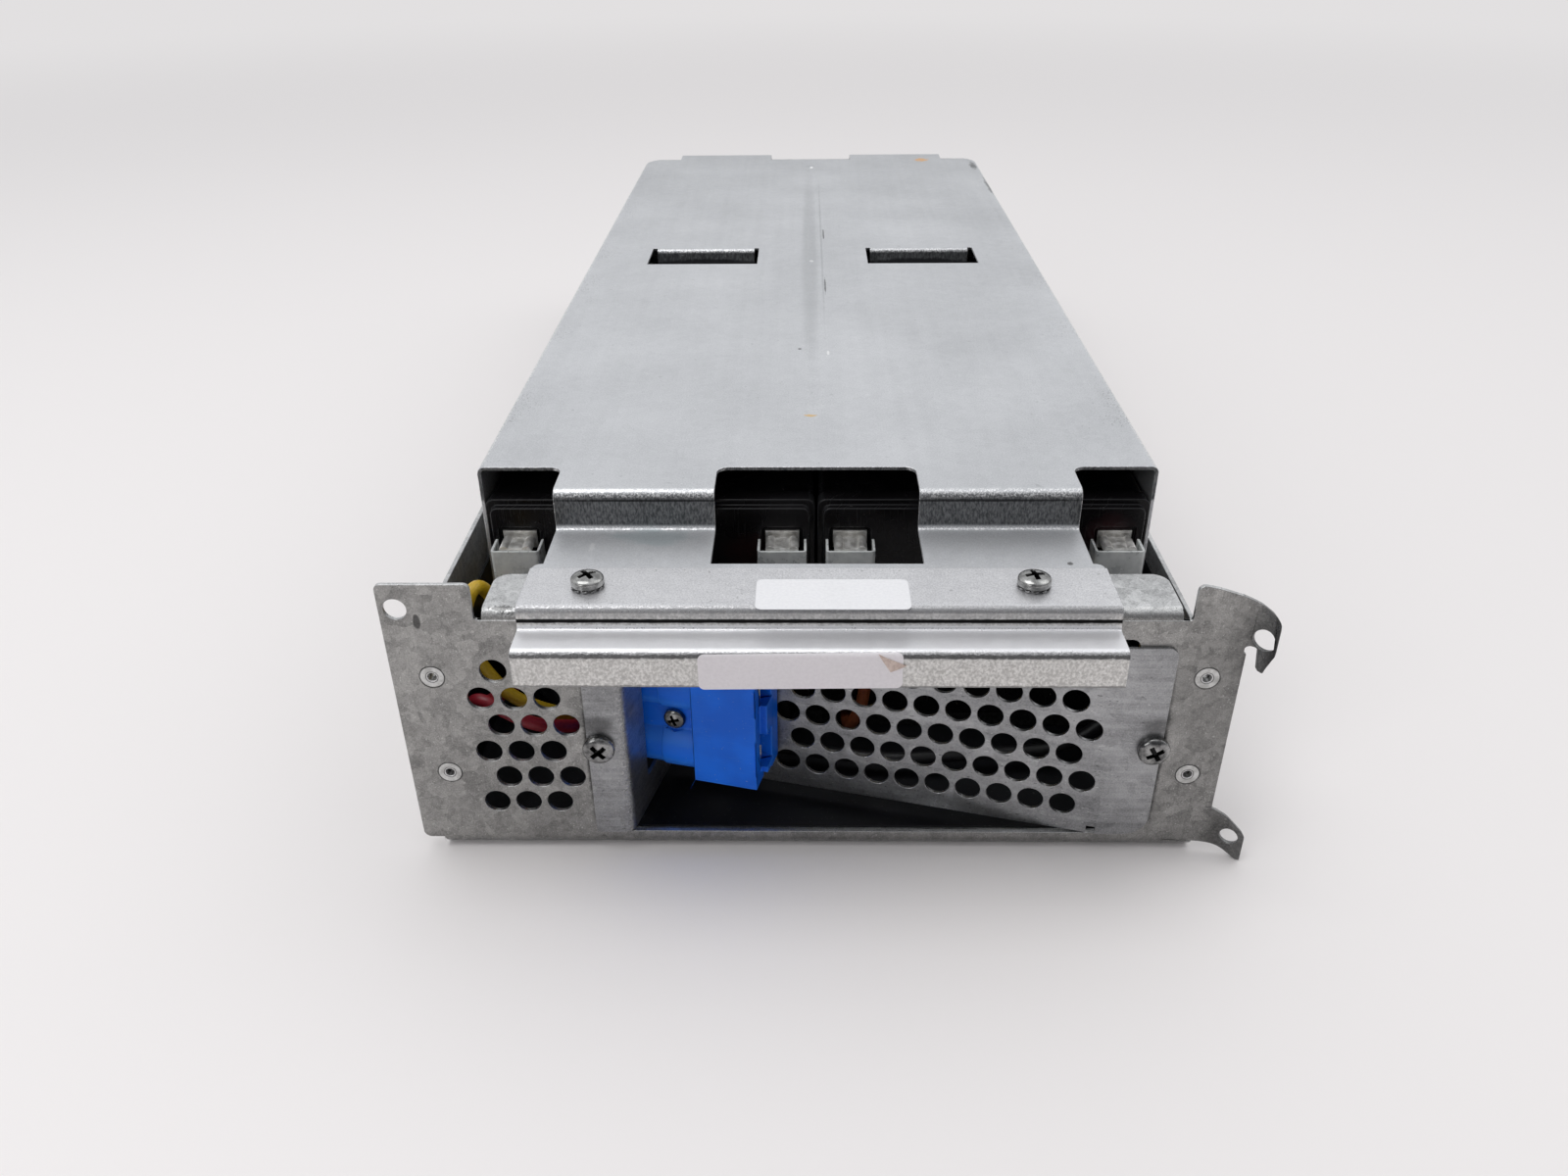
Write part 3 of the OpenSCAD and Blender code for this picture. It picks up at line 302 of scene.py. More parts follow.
def sheetBends(tree, given, look):
    # Where the surface turns away from its main directions, as on a bend or a broken edge:
    # one less the largest part of the object normal, as it is or turned about the upright axis.
    # Sparkle is that band in fine bright specks.
    normal = put(tree, "TexCoord").outputs["Normal"]
    normals = (vectors(tree, "ABSOLUTE", n) for n in (normal, turnedBy(tree, normal, given["Turn"])))
    parts = split(tree, vectors(tree, "MAXIMUM", *normals))
    largest = maths(tree, "MAXIMUM", maths(tree, "MAXIMUM", parts[0], parts[1]), parts[2])
    bend = stepped(tree, maths(tree, "SUBTRACT", 1.0, largest), *look["turned"])
    grain = noise(tree, inSteps(tree, given["Position"], given["Grain"]), *look["grain"])
    return {"Bend": bend, "Sparkle": times(tree, bend, stepped(tree, grain, *look["specks"]))}


def rolledStreaks(tree, given, look):
    # Rolling or brushing marks: noise stretched along one direction by Along, in turns per metre
    turned = turnedBy(tree, given["Position"], given["Turn"])
    spread = vectors(tree, "MULTIPLY", turned, given["Along"])
    fine = noise(tree, stretched(tree, spread, look["finer"]), *look["fine"])
    return {"Tone": noise(tree, spread, *look["lines"]), "Scratch": stepped(tree, fine, *look["scratches"])}


def scatteredFlecks(tree, given, look):
    # Small flecks: near the middles of those cells whose random number is under Amount
    spread = inSteps(tree, given["Position"], given["Size"])
    shaped = vectors(tree, "MULTIPLY", spread, given["Stretch"])
    cells = put(tree, "TexVoronoi", {"Vector": pushed(tree, shaped, spread, *look["wander"])}).outputs
    chosen = maths(tree, "LESS_THAN", split(tree, cells["Color"])[1], given["Amount"])
    return {"Mask": times(tree, chosen, stepped(tree, cells["Distance"], *look["fade"], 1.0, 0.0))}


def raggedSpot(tree, given, look):
    # One mark: full inside the ellipsoid of half-lengths Reach about Centre, with a ragged edge
    offset = vectors(tree, "SUBTRACT", given["Position"], given["Centre"])
    far = lengthOf(tree, vectors(tree, "DIVIDE", offset, given["Reach"]))
    grain = noise(tree, inSteps(tree, given["Position"], given["Grain"]), *look["grain"])
    edge = timesPlus(tree, maths(tree, "SUBTRACT", grain, 0.5), given["Ragged"], far)
    return {"Mask": stepped(tree, edge, maths(tree, "SUBTRACT", 1.0, given["Soft"]), 1.0, 1.0, 0.0)}


crystals = makeGroup(
    "zincCrystals", {"Position": origin, "Cell": 4.0, "Feather": 0.8, "Lean": 0.08}, zincCrystals,
    {"wander": (1.2, 4), "finer": 2.7, "largeShare": 0.58, "smallShare": 0.42})
bends = makeGroup(
    "sheetBends", {"Position": origin, "Turn": 0.0, "Grain": 1.0}, sheetBends,
    {"turned": (0.004, 0.09), "grain": (1.0, 3, 0.7), "specks": (0.46, 0.6)})
streaks = makeGroup(
    "rolledStreaks", {"Position": origin, "Along": (900.0, 40.0, 900.0), "Turn": 0.0}, rolledStreaks,
    {"lines": (1.0, 4, 0.6), "finer": 2.3, "fine": (1.0, 2, 0.5), "scratches": (0.62, 0.7)})
flecks = makeGroup(
    "scatteredFlecks", {"Position": origin, "Size": 3.0, "Amount": 0.1, "Stretch": (1.0, 1.0, 1.0)},
    scatteredFlecks, {"wander": (0.45, 3.0, 2), "fade": (0.14, 0.34)})
spot = makeGroup(
    "raggedSpot", {"Position": origin, "Centre": origin, "Reach": (0.01, 0.01, 0.01), "Ragged": 0.5,
                   "Grain": 2.0, "Soft": 0.3}, raggedSpot, {"grain": (1.0, 4, 0.6)})

print("stage: materials")


def mark(middle, reach, colour, strength=1.0, ragged=0.5, grain=2.0, soft=0.3):
    # One mark on a surface: its middle and half-lengths in millimetres, colour, and share
    inputs = {"Centre": place(*middle), "Reach": tuple(v * mm for v in reach),
              "Ragged": ragged, "Grain": grain, "Soft": soft}
    return inputs, colour, strength


def flecked(tree, position, size, amount, stretch=(1.0, 1.0, 1.0)):
    inputs = {"Position": position, "Size": size, "Amount": amount, "Stretch": stretch}
    return useGroup(tree, flecks, inputs)["Mask"]


def over(tree, colour, mask, share, tint):
    # The colour with a tint laid over it by a share of the mask
    return blended(tree, times(tree, mask, share), colour, tint)


def addMarks(tree, colour, position, marks):
    for inputs, tint, strength in marks:
        mask = useGroup(tree, spot, {"Position": position, **inputs})["Mask"]
        colour = over(tree, colour, mask, strength, tint)
    return colour


def endMaterial(tree, shader, look, colour, roughness, height, **inputs):
    # Colour, roughness and bump go into the shader; the bump's reach is in metres
    bump = {"Strength": look["bump"], "Distance": look.get("bumpReach", 0.0001), "Height": height, **inputs}
    tree.links.new(colour, shader.inputs["Base Color"])
    tree.links.new(roughness, shader.inputs["Roughness"])
    tree.links.new(put(tree, "Bump", bump).outputs["Normal"], shader.inputs["Normal"])


def zincPattern(tree, look, cells, lines, cloud):
    # Crystals, streaks and clouds by their shares, about a middle tone
    tone = times(tree, cells["Tone"], look["cellShare"])
    tone = timesPlus(tree, lines["Tone"], look["streakShare"], tone)
    tone = timesPlus(tree, cloud, look["cloudShare"], tone)
    middle = 0.5 * (look["cellShare"] + look["streakShare"] + look["cloudShare"])
    return maths(tree, "ADD", tone, 0.5 - middle, clamp=True)


def paintedFrontShade(tree, look, position, colour):
    # Painted shade on faces towards the front, above a height: a darker tint, or a darker fine mottle of their
    # own in place of the sheet's tone
    normal = split(tree, put(tree, "TexCoord").outputs["Normal"])
    facing = stepped(tree, times(tree, normal[1], -1.0), *look["facing"])
    shade = times(tree, facing, stepped(tree, split(tree, position)[2], *look["frontShade"]))
    shade = times(tree, shade, look["frontDark"])
    if "frontShadeTint" in look:
        return blended(tree, shade, colour, look["frontShadeTint"], "MULTIPLY")
    rough = noise(tree, vectors(tree, "MULTIPLY", position, look["frontGrain"]), 1.0, 4, 0.7)
    worked = blended(tree, stepped(tree, rough, *look["mottle"]), look["shadedFrontLow"], look["shadedFrontHigh"])
    return blended(tree, shade, colour, worked)


def zincFleck(tree, look, position, colour, size, amount, strength, tint, stretch=(1.0, 1.0, 1.0), band=None):
    # Scattered flecks; with a band, only in patches from one distance off the middle to another
    mask = flecked(tree, position, size, amount, stretch)
    if band:
        side = maths(tree, "ABSOLUTE", split(tree, position)[0])
        mask = times(tree, mask, stepped(tree, side, *(v * mm for v in band)))
        patch = noise(tree, position, look["patchScale"], 2)
        mask = times(tree, mask, stepped(tree, patch, *look["patches"]))
    return over(tree, colour, mask, strength, tint)


sheetBasics = {
    "plain": {"Metallic": 0.8}, "frontShade": (-0.001, 0.0), "frontDark": 1.0, "turn": 0.0,
    "feather": 1.2, "lean": 0.03, "grainScale": 2300.0,
    "facing": (0.6, 0.95), "mottle": (0.36, 0.66), "patchScale": 24.0, "patches": (0.47, 0.58),
    "sparkleRough": -0.12, "sparkleHeight": 0.3, "streakHeight": 0.2,
}


def zincSheet(name, ownLook):
    # Galvanised sheet: crystal tones, rolling streaks, clouds, painted shade on faces towards the front and on
    # the bends, painted highlight specks on the bends, and marks, some of which are painted shade and light
    look = {**sheetBasics, **ownLook}
    tree, shader, position = startMaterial(name, look)
    at = {"Position": position}
    cells = useGroup(tree, crystals, {**at, "Cell": look["cell"], "Feather": look["feather"],
                                      "Lean": look["lean"]})
    lines = useGroup(tree, streaks, {**at, "Along": look["along"], "Turn": look["turn"]})
    bend = useGroup(tree, bends, {**at, "Turn": look["turn"], "Grain": look["speck"]})
    cloud = noise(tree, position, look["cloudScale"], 3, 0.5)
    grain = noise(tree, position, look["grainScale"], 4, 0.65)
    finer = stepped(tree, grain, *noiseCore, -look["grainShare"], look["grainShare"])
    tone = maths(tree, "ADD", zincPattern(tree, look, cells, lines, cloud), finer, clamp=True)
    # Painted shade on the faces towards the front
    colour = paintedFrontShade(tree, look, position, blended(tree, tone, look["dark"], look["light"]))
    # Painted shade over the band of each bend and broken edge, then painted highlight in fine specks on it; the
    # specks' lower roughness and bump are the coating's own
    colour = over(tree, colour, bend["Bend"], look["bendShade"], look["bendDark"])
    colour = over(tree, colour, bend["Sparkle"], look["sparkle"], look["bendHighlight"])
    for fleck in look["flecks"]:
        colour = zincFleck(tree, look, position, colour, *fleck)
    colour = addMarks(tree, colour, position, look["marks"])
    roughness = stepped(tree, tone, 0.0, 1.0, *look["rough"])
    roughness = timesPlus(tree, bend["Sparkle"], look["sparkleRough"], roughness)
    height = timesPlus(tree, lines["Tone"], look["streakHeight"], grain)
    height = timesPlus(tree, bend["Sparkle"], look["sparkleHeight"], height)
    endMaterial(tree, shader, look, colour, roughness, height, Normal=cells["Normal"])


bracketLow, bracketHigh = (corner.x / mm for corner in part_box("connector_bracket"))
rivetSpots = [(x, z) for x in (-93.4, 93.4) for z in (25.0, 54.4)]

trayLook = {
    "plain": {"Metallic": 0.92},
    "dark": (0.31, 0.313, 0.315), "light": (0.8, 0.805, 0.805),
    # The front tint is painted shade: faces towards the front are darker than the rest of the tray
    "cell": 3.3, "feather": 1.0, "lean": 0.12, "cellShare": 0.62, "frontShadeTint": (0.52, 0.51, 0.495),
    "along": (700.0, 700.0, 90.0), "streakShare": 0.45, "streakHeight": 0.3,
    "cloudScale": 30.0, "cloudShare": 0.75, "speck": 0.6,
    "bendShade": 0.25, "bendDark": 0.2, "bendHighlight": (0.6, 0.6, 0.59), "sparkle": 0.4,
    "rough": (0.46, 0.27), "grainScale": 2600.0, "grainShare": 0.17, "bump": 0.5,
    "flecks": [  # size, amount, strength, colour, stretch and band
        (2.2, 0.28, 0.6, (0.7, 0.7, 0.68), (1.0, 1.0, 0.6)), (2.8, 0.2, 0.55, (0.1, 0.1, 0.095), (1.5, 1.0, 0.8)),
    ],
    "marks": [
        # Painted shade: a dark ring left round each rivet head, for the gap about it
        *(mark((x, 0, z), (3.35, 2, 3.35), 0.03, 0.85, ragged=0.2, soft=0.1) for x, z in rivetSpots),
        # Painted shade: a dark patch just above each bracket screw
        mark((83.4, -0.5, 42.5), (5.5, 3, 4.5), 0.05, 0.6, soft=0.7),
        mark((-54.8, -0.5, 41.0), (5.5, 3, 4.5), 0.05, 0.55, soft=0.7),
        mark((-94.6, -0.5, 70.2), (1.1, 2, 2.4), 0.04, 0.8, grain=1.0),
        mark((-74.6, 1.7, 73.2), (3.6, 0.8, 1.4), 0.12, 0.75, ragged=2.4, grain=0.9),
        mark((-72.6, 0.2, 72.4), (4.2, 0.7, 0.6), 0.1, 0.7, ragged=2.0, grain=0.9),
        # Painted contact shadow along the outer edges of the bracket's flanges
        mark((bracketLow - 0.2, -0.3, 31), (0.9, 2, 29), 0.03, 0.75, ragged=0.8, grain=1.6, soft=0.7),
        mark((bracketHigh + 0.3, -0.3, 31), (1.2, 2, 30), 0.03, 0.8, ragged=0.8, grain=1.6, soft=0.7),
        # Painted shade on the right ear and at the plate's lower right corner
        mark((108, -4, 66), (13, 20, 26), 0.03, 0.8, grain=5.0, soft=0.7),
        mark((107, -4, 7), (11, 18, 17), 0.03, 0.65, grain=5.0, soft=0.7),
        # Painted shade: the right part of the plate darker, as the light falls off
        mark((100, 0, 50), (30, 3, 34), (0.1, 0.1, 0.098), 0.3, ragged=0.8, grain=18.0, soft=0.8),
        # Painted shade along the bend at the plate's foot
        mark((0, 0, 2.0), (140, 3, 3.2), (0.09, 0.09, 0.088), 0.4, soft=0.6),
    ],
}

coverLook = {
    "dark": (0.5, 0.51, 0.525), "light": (0.75, 0.76, 0.78),
    "cell": 2.6, "cellShare": 0.2,
    "along": (260.0, 7.0, 260.0), "streakShare": 0.28,
    "cloudScale": 19.0, "cloudShare": 1.0, "speck": 0.55,
    "bendShade": 0.2, "bendDark": (0.3, 0.31, 0.32), "bendHighlight": 1.0, "sparkle": 0.75,
    "rough": (0.5, 0.38), "grainShare": 0.2, "bump": 0.35,
    # Painted shade: the cover's step faces towards the front get a dark fine mottle in place of the sheet's tone
    "frontShade": (74.8 * mm, 75.8 * mm), "frontDark": 0.95,
    "frontGrain": (1800.0, 1800.0, 620.0), "shadedFrontLow": (0.045, 0.048, 0.05), "shadedFrontHigh": (0.2, 0.205, 0.21),
    "flecks": [
        (2.6, 0.55, 0.85, (0.04, 0.04, 0.045), (1.5, 0.6, 1.0), (76.0, 89.0)),
        (9.0, 0.014, 0.35, (0.3, 0.31, 0.32)), (6.0, 0.02, 0.3, 0.95),
    ],
    "marks": [
        mark((10, 560, 85), (300, 330, 90), (0.3, 0.31, 0.32), 0.35, ragged=0.4, grain=40.0, soft=1.0),
        mark((61.3, 456.5, 85.2), (4.4, 4.2, 2), (0.78, 0.42, 0.14), 0.85, ragged=2.4, grain=2.2),
        mark((-1.2, 89.4, 85.2), (2.2, 1.1, 2), (0.75, 0.5, 0.2), 0.85, ragged=1.2, grain=1.0),
        mark((0.4, 439.8, 85.2), (1.1, 2.4, 2), 1.0, grain=1.0),
        mark((-0.4, 255.4, 85.2), (1.0, 1.8, 2), 1.0, ragged=0.6, grain=1.0),
        mark((5.0, 296.0, 85.2), (0.35, 10.5, 2), 0.06, 0.8, ragged=1.2, grain=2.5),
        mark((4.7, 219.0, 85.2), (0.35, 11.5, 2), 0.06, 0.75, ragged=1.3, grain=2.5),
        # Painted shade on the bead: a dark line along its right slope and a darker band over it
        mark((3.9, 290.0, 85.2), (0.6, 150, 3), (0.34, 0.35, 0.36), 0.4, ragged=0.9, grain=4.0, soft=0.7),
        mark((-1.0, 270.0, 85.2), (4.2, 178, 3), (0.4, 0.41, 0.42), 0.42, grain=7.0, soft=0.6),
        # Painted shadow on the faces of the tabs below the slots
        *(mark((x, 272.8, 76.6), (42, 1.5, 7.0), (0.03, 0.03, 0.033), 0.95, ragged=0.15, soft=0.12)
          for x in (-45, 45)),
        mark((4.6, 143.1, 85.2), (0.5, 2.4, 2), 0.95, 0.8, grain=1.0),
        mark((-4.8, 147.0, 85.2), (0.7, 0.7, 2), 0.03, 0.9, grain=0.8),
        mark((87.8, 440.0, 85.2), (1.8, 8.5, 3), 0.06, 0.75, ragged=3.2, grain=1.1),
        mark((89.6, 390.0, 85.2), (1.0, 20.0, 3), 0.07, 0.65, ragged=3.2, grain=1.3),
        # Painted shade: a thin dark line under the step's top bend
        *(mark((x, 39.7, 82.5), (38, 2.2, 0.5), (0.015, 0.015, 0.016), 0.85, ragged=0.9, grain=1.3, soft=0.5)
          for x in (-43, 43)),
        # Painted reflection: a bluish patch from the blue connector below
        mark((-42.0, 35.0, 73.8), (17, 5.5, 3), (0.42, 0.52, 0.54), 0.4, ragged=1.6, grain=7.0, soft=0.6),
        mark((-57.3, 29.5, 73.8), (0.7, 2.6, 3), 0.95, 0.4, ragged=2.6, grain=0.9),
        mark((62.4, 20.8, 73.8), (0.9, 0.9, 3), 0.08, 0.8, ragged=0.9, grain=0.8),
    ],
}

handleLook = {
    "dark": (0.52, 0.52, 0.535), "light": (0.86, 0.86, 0.875),
    "cell": 2.2, "cellShare": 0.22,
    "along": (40.0, 400.0, 400.0), "streakShare": 0.25,
    "cloudScale": 22.0, "cloudShare": 0.45, "speck": 0.5,
    "bendShade": 0.65, "bendDark": (0.16, 0.16, 0.165), "bendHighlight": (0.85, 0.85, 0.86), "sparkle": 0.5,
    "rough": (0.46, 0.34), "grainShare": 0.28, "bump": 0.38,
    # Painted shade: the lip's face and the riser get a darker fine mottle in place of the sheet's tone
    "frontShade": (10 * mm, 11 * mm), "frontDark": 0.95,
    "frontGrain": (1500.0, 1500.0, 1250.0), "shadedFrontLow": (0.46, 0.45, 0.435), "shadedFrontHigh": (0.76, 0.75, 0.73),
    "flecks": [(1.7, 0.1, 0.55, 0.22, (0.8, 1.0, 1.0)), (8.0, 0.06, 0.5, 0.3), (6.0, 0.05, 0.5, 0.95)],
    "marks": [
        # Painted shade on the riser
        mark((0, -1.1, 73.4), (500, 1.2, 2.0), (0.36, 0.36, 0.37), 0.85, soft=0.5),
        # Painted light on the lip's top, which faces up
        mark((0, -6.5, 69.9), (500, 6.0, 1.5), (0.9, 0.9, 0.92), 0.85, ragged=0.3, grain=1.2, soft=0.2),
        # Painted shadow: a black line in the corner at the riser's foot
        mark((0, -1.1, 71.75), (500, 1.6, 0.85), 0.004, ragged=0.25),
        # Painted shade in dark specks below the lip's top bend
        mark((0, -12, 68.3), (500, 2, 0.5), 0.08, 0.7, ragged=2.2, grain=1.1),
        # Painted shade along the lip's lower edge
        mark((0, -12, 60.2), (500, 2, 0.4), 0.12, 0.6, ragged=1.6, grain=1.5),
    ],
}

bracketLook = {
    "plain": {"Metallic": 0.92},
    "dark": (0.15, 0.152, 0.156), "light": (0.62, 0.625, 0.63),
    "cell": 3.6, "feather": 1.6, "lean": 0.06, "cellShare": 0.25,
    "along": (30.0, 30.0, 700.0), "streakShare": 0.6, "streakHeight": 0.3, "turn": 0.246,
    "cloudScale": 40.0, "cloudShare": 0.9, "speck": 0.7,
    "bendShade": 0.1, "bendDark": 0.2, "bendHighlight": 0.7, "sparkle": 0.25,
    # The front tint is painted shade on the faces towards the front
    "frontShadeTint": (0.85, 0.85, 0.86),
    "rough": (0.44, 0.26), "grainScale": 2400.0, "grainShare": 0.1, "bump": 0.3,
    "flecks": [(4.2, 0.2, 0.65, 0.06, (0.45, 0.45, 1.6)), (3.6, 0.14, 0.5, 0.75, (0.45, 0.45, 1.5))],
    # Painted shade: a dark patch just above each bracket screw
    "marks": [mark((x, -1.2, 40.5), (5.2, 3, 4.2), 0.05, 0.6, soft=0.7) for x in (83.4, -54.4)],
}

zincSheet("trayZinc", trayLook)
zincSheet("coverZinc", coverLook)
zincSheet("handleZinc", handleLook)
zincSheet("bracketZinc", bracketLook)

metalBasics = {
    "plain": {"Metallic": 1.0}, "recessShade": 0.02, "pitScale": 2600.0, "fleckAmount": 0.25, "fleckShare": 0.5,
    "marks": [],
}


def brightMetal(name, ownLook):
    # Plated small metal: soft clouds of tone, fine pits, and painted shade in a recess where the piece has one
    look = {**metalBasics, **ownLook}
    tree, shader, position = startMaterial(name, look)
    cloud = noise(tree, position, look["cloudScale"], 4, 0.6)
    colour = blended(tree, stepped(tree, cloud, *noiseCore), look["dark"], look["light"])
    specks = flecked(tree, position, look["fleckSize"], look["fleckAmount"])
    colour = over(tree, colour, specks, look["fleckShare"], look["fleck"])
    # Painted shade: the recess darkened by its depth
    recessShade = put(tree, "Attribute", attribute_name="recess").outputs["Fac"]
    colour = blended(tree, recessShade, colour, look["recessShade"])
    colour = addMarks(tree, colour, position, look["marks"])
    roughness = stepped(tree, cloud, *noiseSpan, *look["rough"])
    endMaterial(tree, shader, look, colour, roughness, noise(tree, position, look["pitScale"], 3, 0.6))


brightMetal("screwZinc", {
    "dark": (0.22, 0.22, 0.215), "light": (0.5, 0.5, 0.49), "fleck": 0.08, "fleckSize": 1.2,
    "cloudScale": 360.0, "pitScale": 2000.0, "rough": (0.14, 0.28), "bump": 0.08})
# A darker copy of the screw zinc, painted shade for the screws under the handle's lip and the connector's clamp
# screw
brightMetal("shadedScrewZinc", {
    "dark": 0.1, "light": (0.36, 0.36, 0.355), "recessShade": 0.015, "fleck": 0.05, "fleckSize": 1.2,
    "cloudScale": 420.0, "pitScale": 2000.0, "rough": (0.14, 0.3), "bump": 0.1})
brightMetal("washerZinc", {
    "dark": 0.12, "light": 0.42, "recessShade": 0.03, "fleck": 0.05, "fleckSize": 0.9,
    "cloudScale": 700.0, "pitScale": 3000.0, "rough": (0.25, 0.45), "bump": 0.3})
brightMetal("rivetZinc", {
    "plain": {"Metallic": 0.9}, "dark": (0.42, 0.42, 0.41), "light": (0.66, 0.66, 0.65),
    "fleck": 0.14, "fleckSize": 1.4, "cloudScale": 420.0, "rough": (0.3, 0.48), "bump": 0.3,
    # Painted rings on each rivet head: a dark outline, a painted highlight ring inside it, and painted shade in
    # the middle hole
    "marks": [mark((x, 0, z), (radius, 3, radius), tone, 0.95, ragged=0.25, grain=0.8, soft=0.15)
              for x, z in rivetSpots for radius, tone in ((1.75, 0.09), (1.5, 0.75), (1.15, 0.01))]})
brightMetal("nutZinc", {
    "plain": {"Metallic": 0.95}, "dark": (0.24, 0.24, 0.22), "light": (0.5, 0.5, 0.48),
    "fleck": 0.1, "fleckSize": 1.6, "cloudScale": 400.0, "rough": (0.3, 0.5), "bump": 0.3})
brightMetal("silverPlate", {
    "dark": (0.6, 0.58, 0.53), "light": (0.88, 0.87, 0.83), "fleck": (0.4, 0.36, 0.28), "fleckSize": 2.0,
    "cloudScale": 260.0, "rough": (0.18, 0.32), "bump": 0.15})
brightMetal("springSteel", {
    "dark": 0.3, "light": 0.5, "fleck": 0.15, "fleckSize": 1.4,
    "cloudScale": 300.0, "rough": (0.25, 0.4), "bump": 0.2})
brightMetal("tinnedBrass", {
    "plain": {"Metallic": 0.85}, "dark": (0.66, 0.65, 0.62), "light": (0.9, 0.89, 0.87),
    "fleck": (0.4, 0.37, 0.3), "fleckSize": 1.2, "cloudScale": 500.0, "rough": (0.34, 0.5), "bump": 0.3})

plasticBasics = {
    "plain": {"Specular IOR Level": 0.2}, "edgeShare": 0.4, "scratchShare": 0.25, "grainScale": 1500.0,
    "cloudScale": 70.0, "turn": 0.0, "edgeGrain": 1.2, "scratchTurn": 0.6, "scratchRough": 0.15,
    "scratchHeight": -0.5, "dustShare": 0.5, "marks": [],
}


def mouldedPlastic(name, ownLook):
    # Moulded plastic: slow tone changes, fine texture, hair scratches, lighter edges that are partly rubbed wear
    # and partly painted highlight, and some dust
    look = {**plasticBasics, **ownLook}
    tree, shader, position = startMaterial(name, look)
    cloud = noise(tree, position, look["cloudScale"], 3, 0.5)
    colour = blended(tree, stepped(tree, cloud, *noiseSpan), look["dark"], look["light"])
    # Lighter on edges and bends: rubbed wear, and painted highlight
    edge = useGroup(tree, bends, {"Position": position, "Turn": look["turn"], "Grain": look["edgeGrain"]})
    colour = over(tree, colour, edge["Bend"], look["edgeShare"], look["edge"])
    scratches = useGroup(tree, streaks, {"Position": position, "Along": look["along"],
                                         "Turn": look["scratchTurn"]})["Scratch"]
    colour = over(tree, colour, scratches, look["scratchShare"], look["scratch"])
    dust = flecked(tree, position, look["dustSize"], look["dustAmount"])
    colour = over(tree, colour, dust, look["dustShare"], look["dust"])
    colour = addMarks(tree, colour, position, look["marks"])
    roughness = timesPlus(tree, scratches, look["scratchRough"], stepped(tree, cloud, *noiseSpan, *look["rough"]))
    grain = noise(tree, position, look["grainScale"], 3, 0.6)
    endMaterial(tree, shader, look, colour, roughness,
                timesPlus(tree, scratches, look["scratchHeight"], grain))


mouldedPlastic("blueShell", {
    "plain": {"Specular IOR Level": 0.22}, "dark": (0.004, 0.12, 0.68), "light": (0.007, 0.17, 0.88),
    "edge": (0.05, 0.25, 0.85), "edgeShare": 0.5, "turn": 0.246,
    "scratch": (0.09, 0.25, 0.7), "scratchShare": 0.16, "along": (60.0, 60.0, 1500.0),
    "dust": (0.3, 0.4, 0.6), "dustSize": 2.6, "dustAmount": 0.04,
    "grainScale": 1800.0, "rough": (0.34, 0.46), "bump": 0.16})
mouldedPlastic("caseAbs", {
    "dark": (0.004, 0.004, 0.0045), "light": (0.008, 0.008, 0.009), "edge": (0.03, 0.031, 0.034),
    "edgeShare": 0.5, "scratch": 0.03, "along": (40.0, 1300.0, 40.0), "dust": 0.08, "dustSize": 4.4,
    "dustAmount": 0.04, "cloudScale": 60.0, "rough": (0.22, 0.36), "bump": 0.14})
mouldedPlastic("lidAbs", {
    "dark": (0.004, 0.0036, 0.004), "light": (0.008, 0.0075, 0.0085), "edge": (0.028, 0.029, 0.031),
    "scratch": (0.025, 0.025, 0.026), "along": (1300.0, 40.0, 60.0), "dust": 0.1, "dustSize": 4.8,
    "dustAmount": 0.03, "rough": (0.18, 0.32), "bump": 0.12,
    "marks": [mark((-17, 49.7, 62), (11, 6, 7), (0.03, 0.008, 0.008), 0.5, soft=0.8),
              mark((79, 49.7, 66), (9, 6, 9), (0.035, 0.007, 0.009), 0.6, soft=0.8)]})
mouldedPlastic("linerFilm", {
    "plain": {"Specular IOR Level": 0.35}, "dark": (0.005, 0.0055, 0.007), "light": (0.009, 0.0095, 0.012),
    "edge": (0.03, 0.03, 0.035), "scratch": (0.03, 0.03, 0.035), "scratchShare": 0.3,
    "along": (50.0, 1100.0, 50.0), "dust": 0.09, "dustSize": 3.2, "dustAmount": 0.12,
    "cloudScale": 50.0, "grainScale": 900.0, "rough": (0.4, 0.55), "bump": 0.2})
mouldedPlastic("foamCells", {
    "plain": {"Specular IOR Level": 0.15}, "dark": 0.006, "light": 0.022,
    "edge": 0.03, "edgeShare": 0.2, "scratch": 0.03, "scratchShare": 0.1,
    "along": (300.0, 300.0, 300.0), "dust": 0.04, "dustSize": 1.2, "dustAmount": 0.5,
    "cloudScale": 900.0, "grainScale": 1400.0, "rough": (0.85, 0.95), "bump": 0.8})


def sleeveVinyl(name, look):
    # Milky see-through vinyl: cloudy, with flow lines, and a duller, scuffed skin
    tree, shader, position = startMaterial(name, look)
    cloud = noise(tree, position, look["cloudScale"], 4, 0.6)
    colour = blended(tree, stepped(tree, cloud, *noiseSpan), look["dark"], look["light"])
    wave = noise(tree, vectors(tree, "MULTIPLY", position, look["along"]), 1.0, 3)
    endMaterial(tree, shader, look, colour, stepped(tree, cloud, *noiseSpan, *look["rough"]), wave)


sleeveVinyl("sleeveVinyl", {
    "plain": {"Transmission Weight": 0.3, "IOR": 1.25}, "dark": (0.62, 0.64, 0.64),
    "light": (0.82, 0.84, 0.83), "cloudScale": 260.0, "along": (500.0, 500.0, 130.0), "rough": (0.24, 0.42),
    "bump": 0.35, "bumpReach": 0.0002})

skinBasics = {
    "along": (42.0, 9.0, 1.0), "dirtScale": 130.0, "dirtRange": (0.56, 0.75), "dirtShare": 0.4,
    "rough": (0.32, 0.5), "bump": 0.2,
}


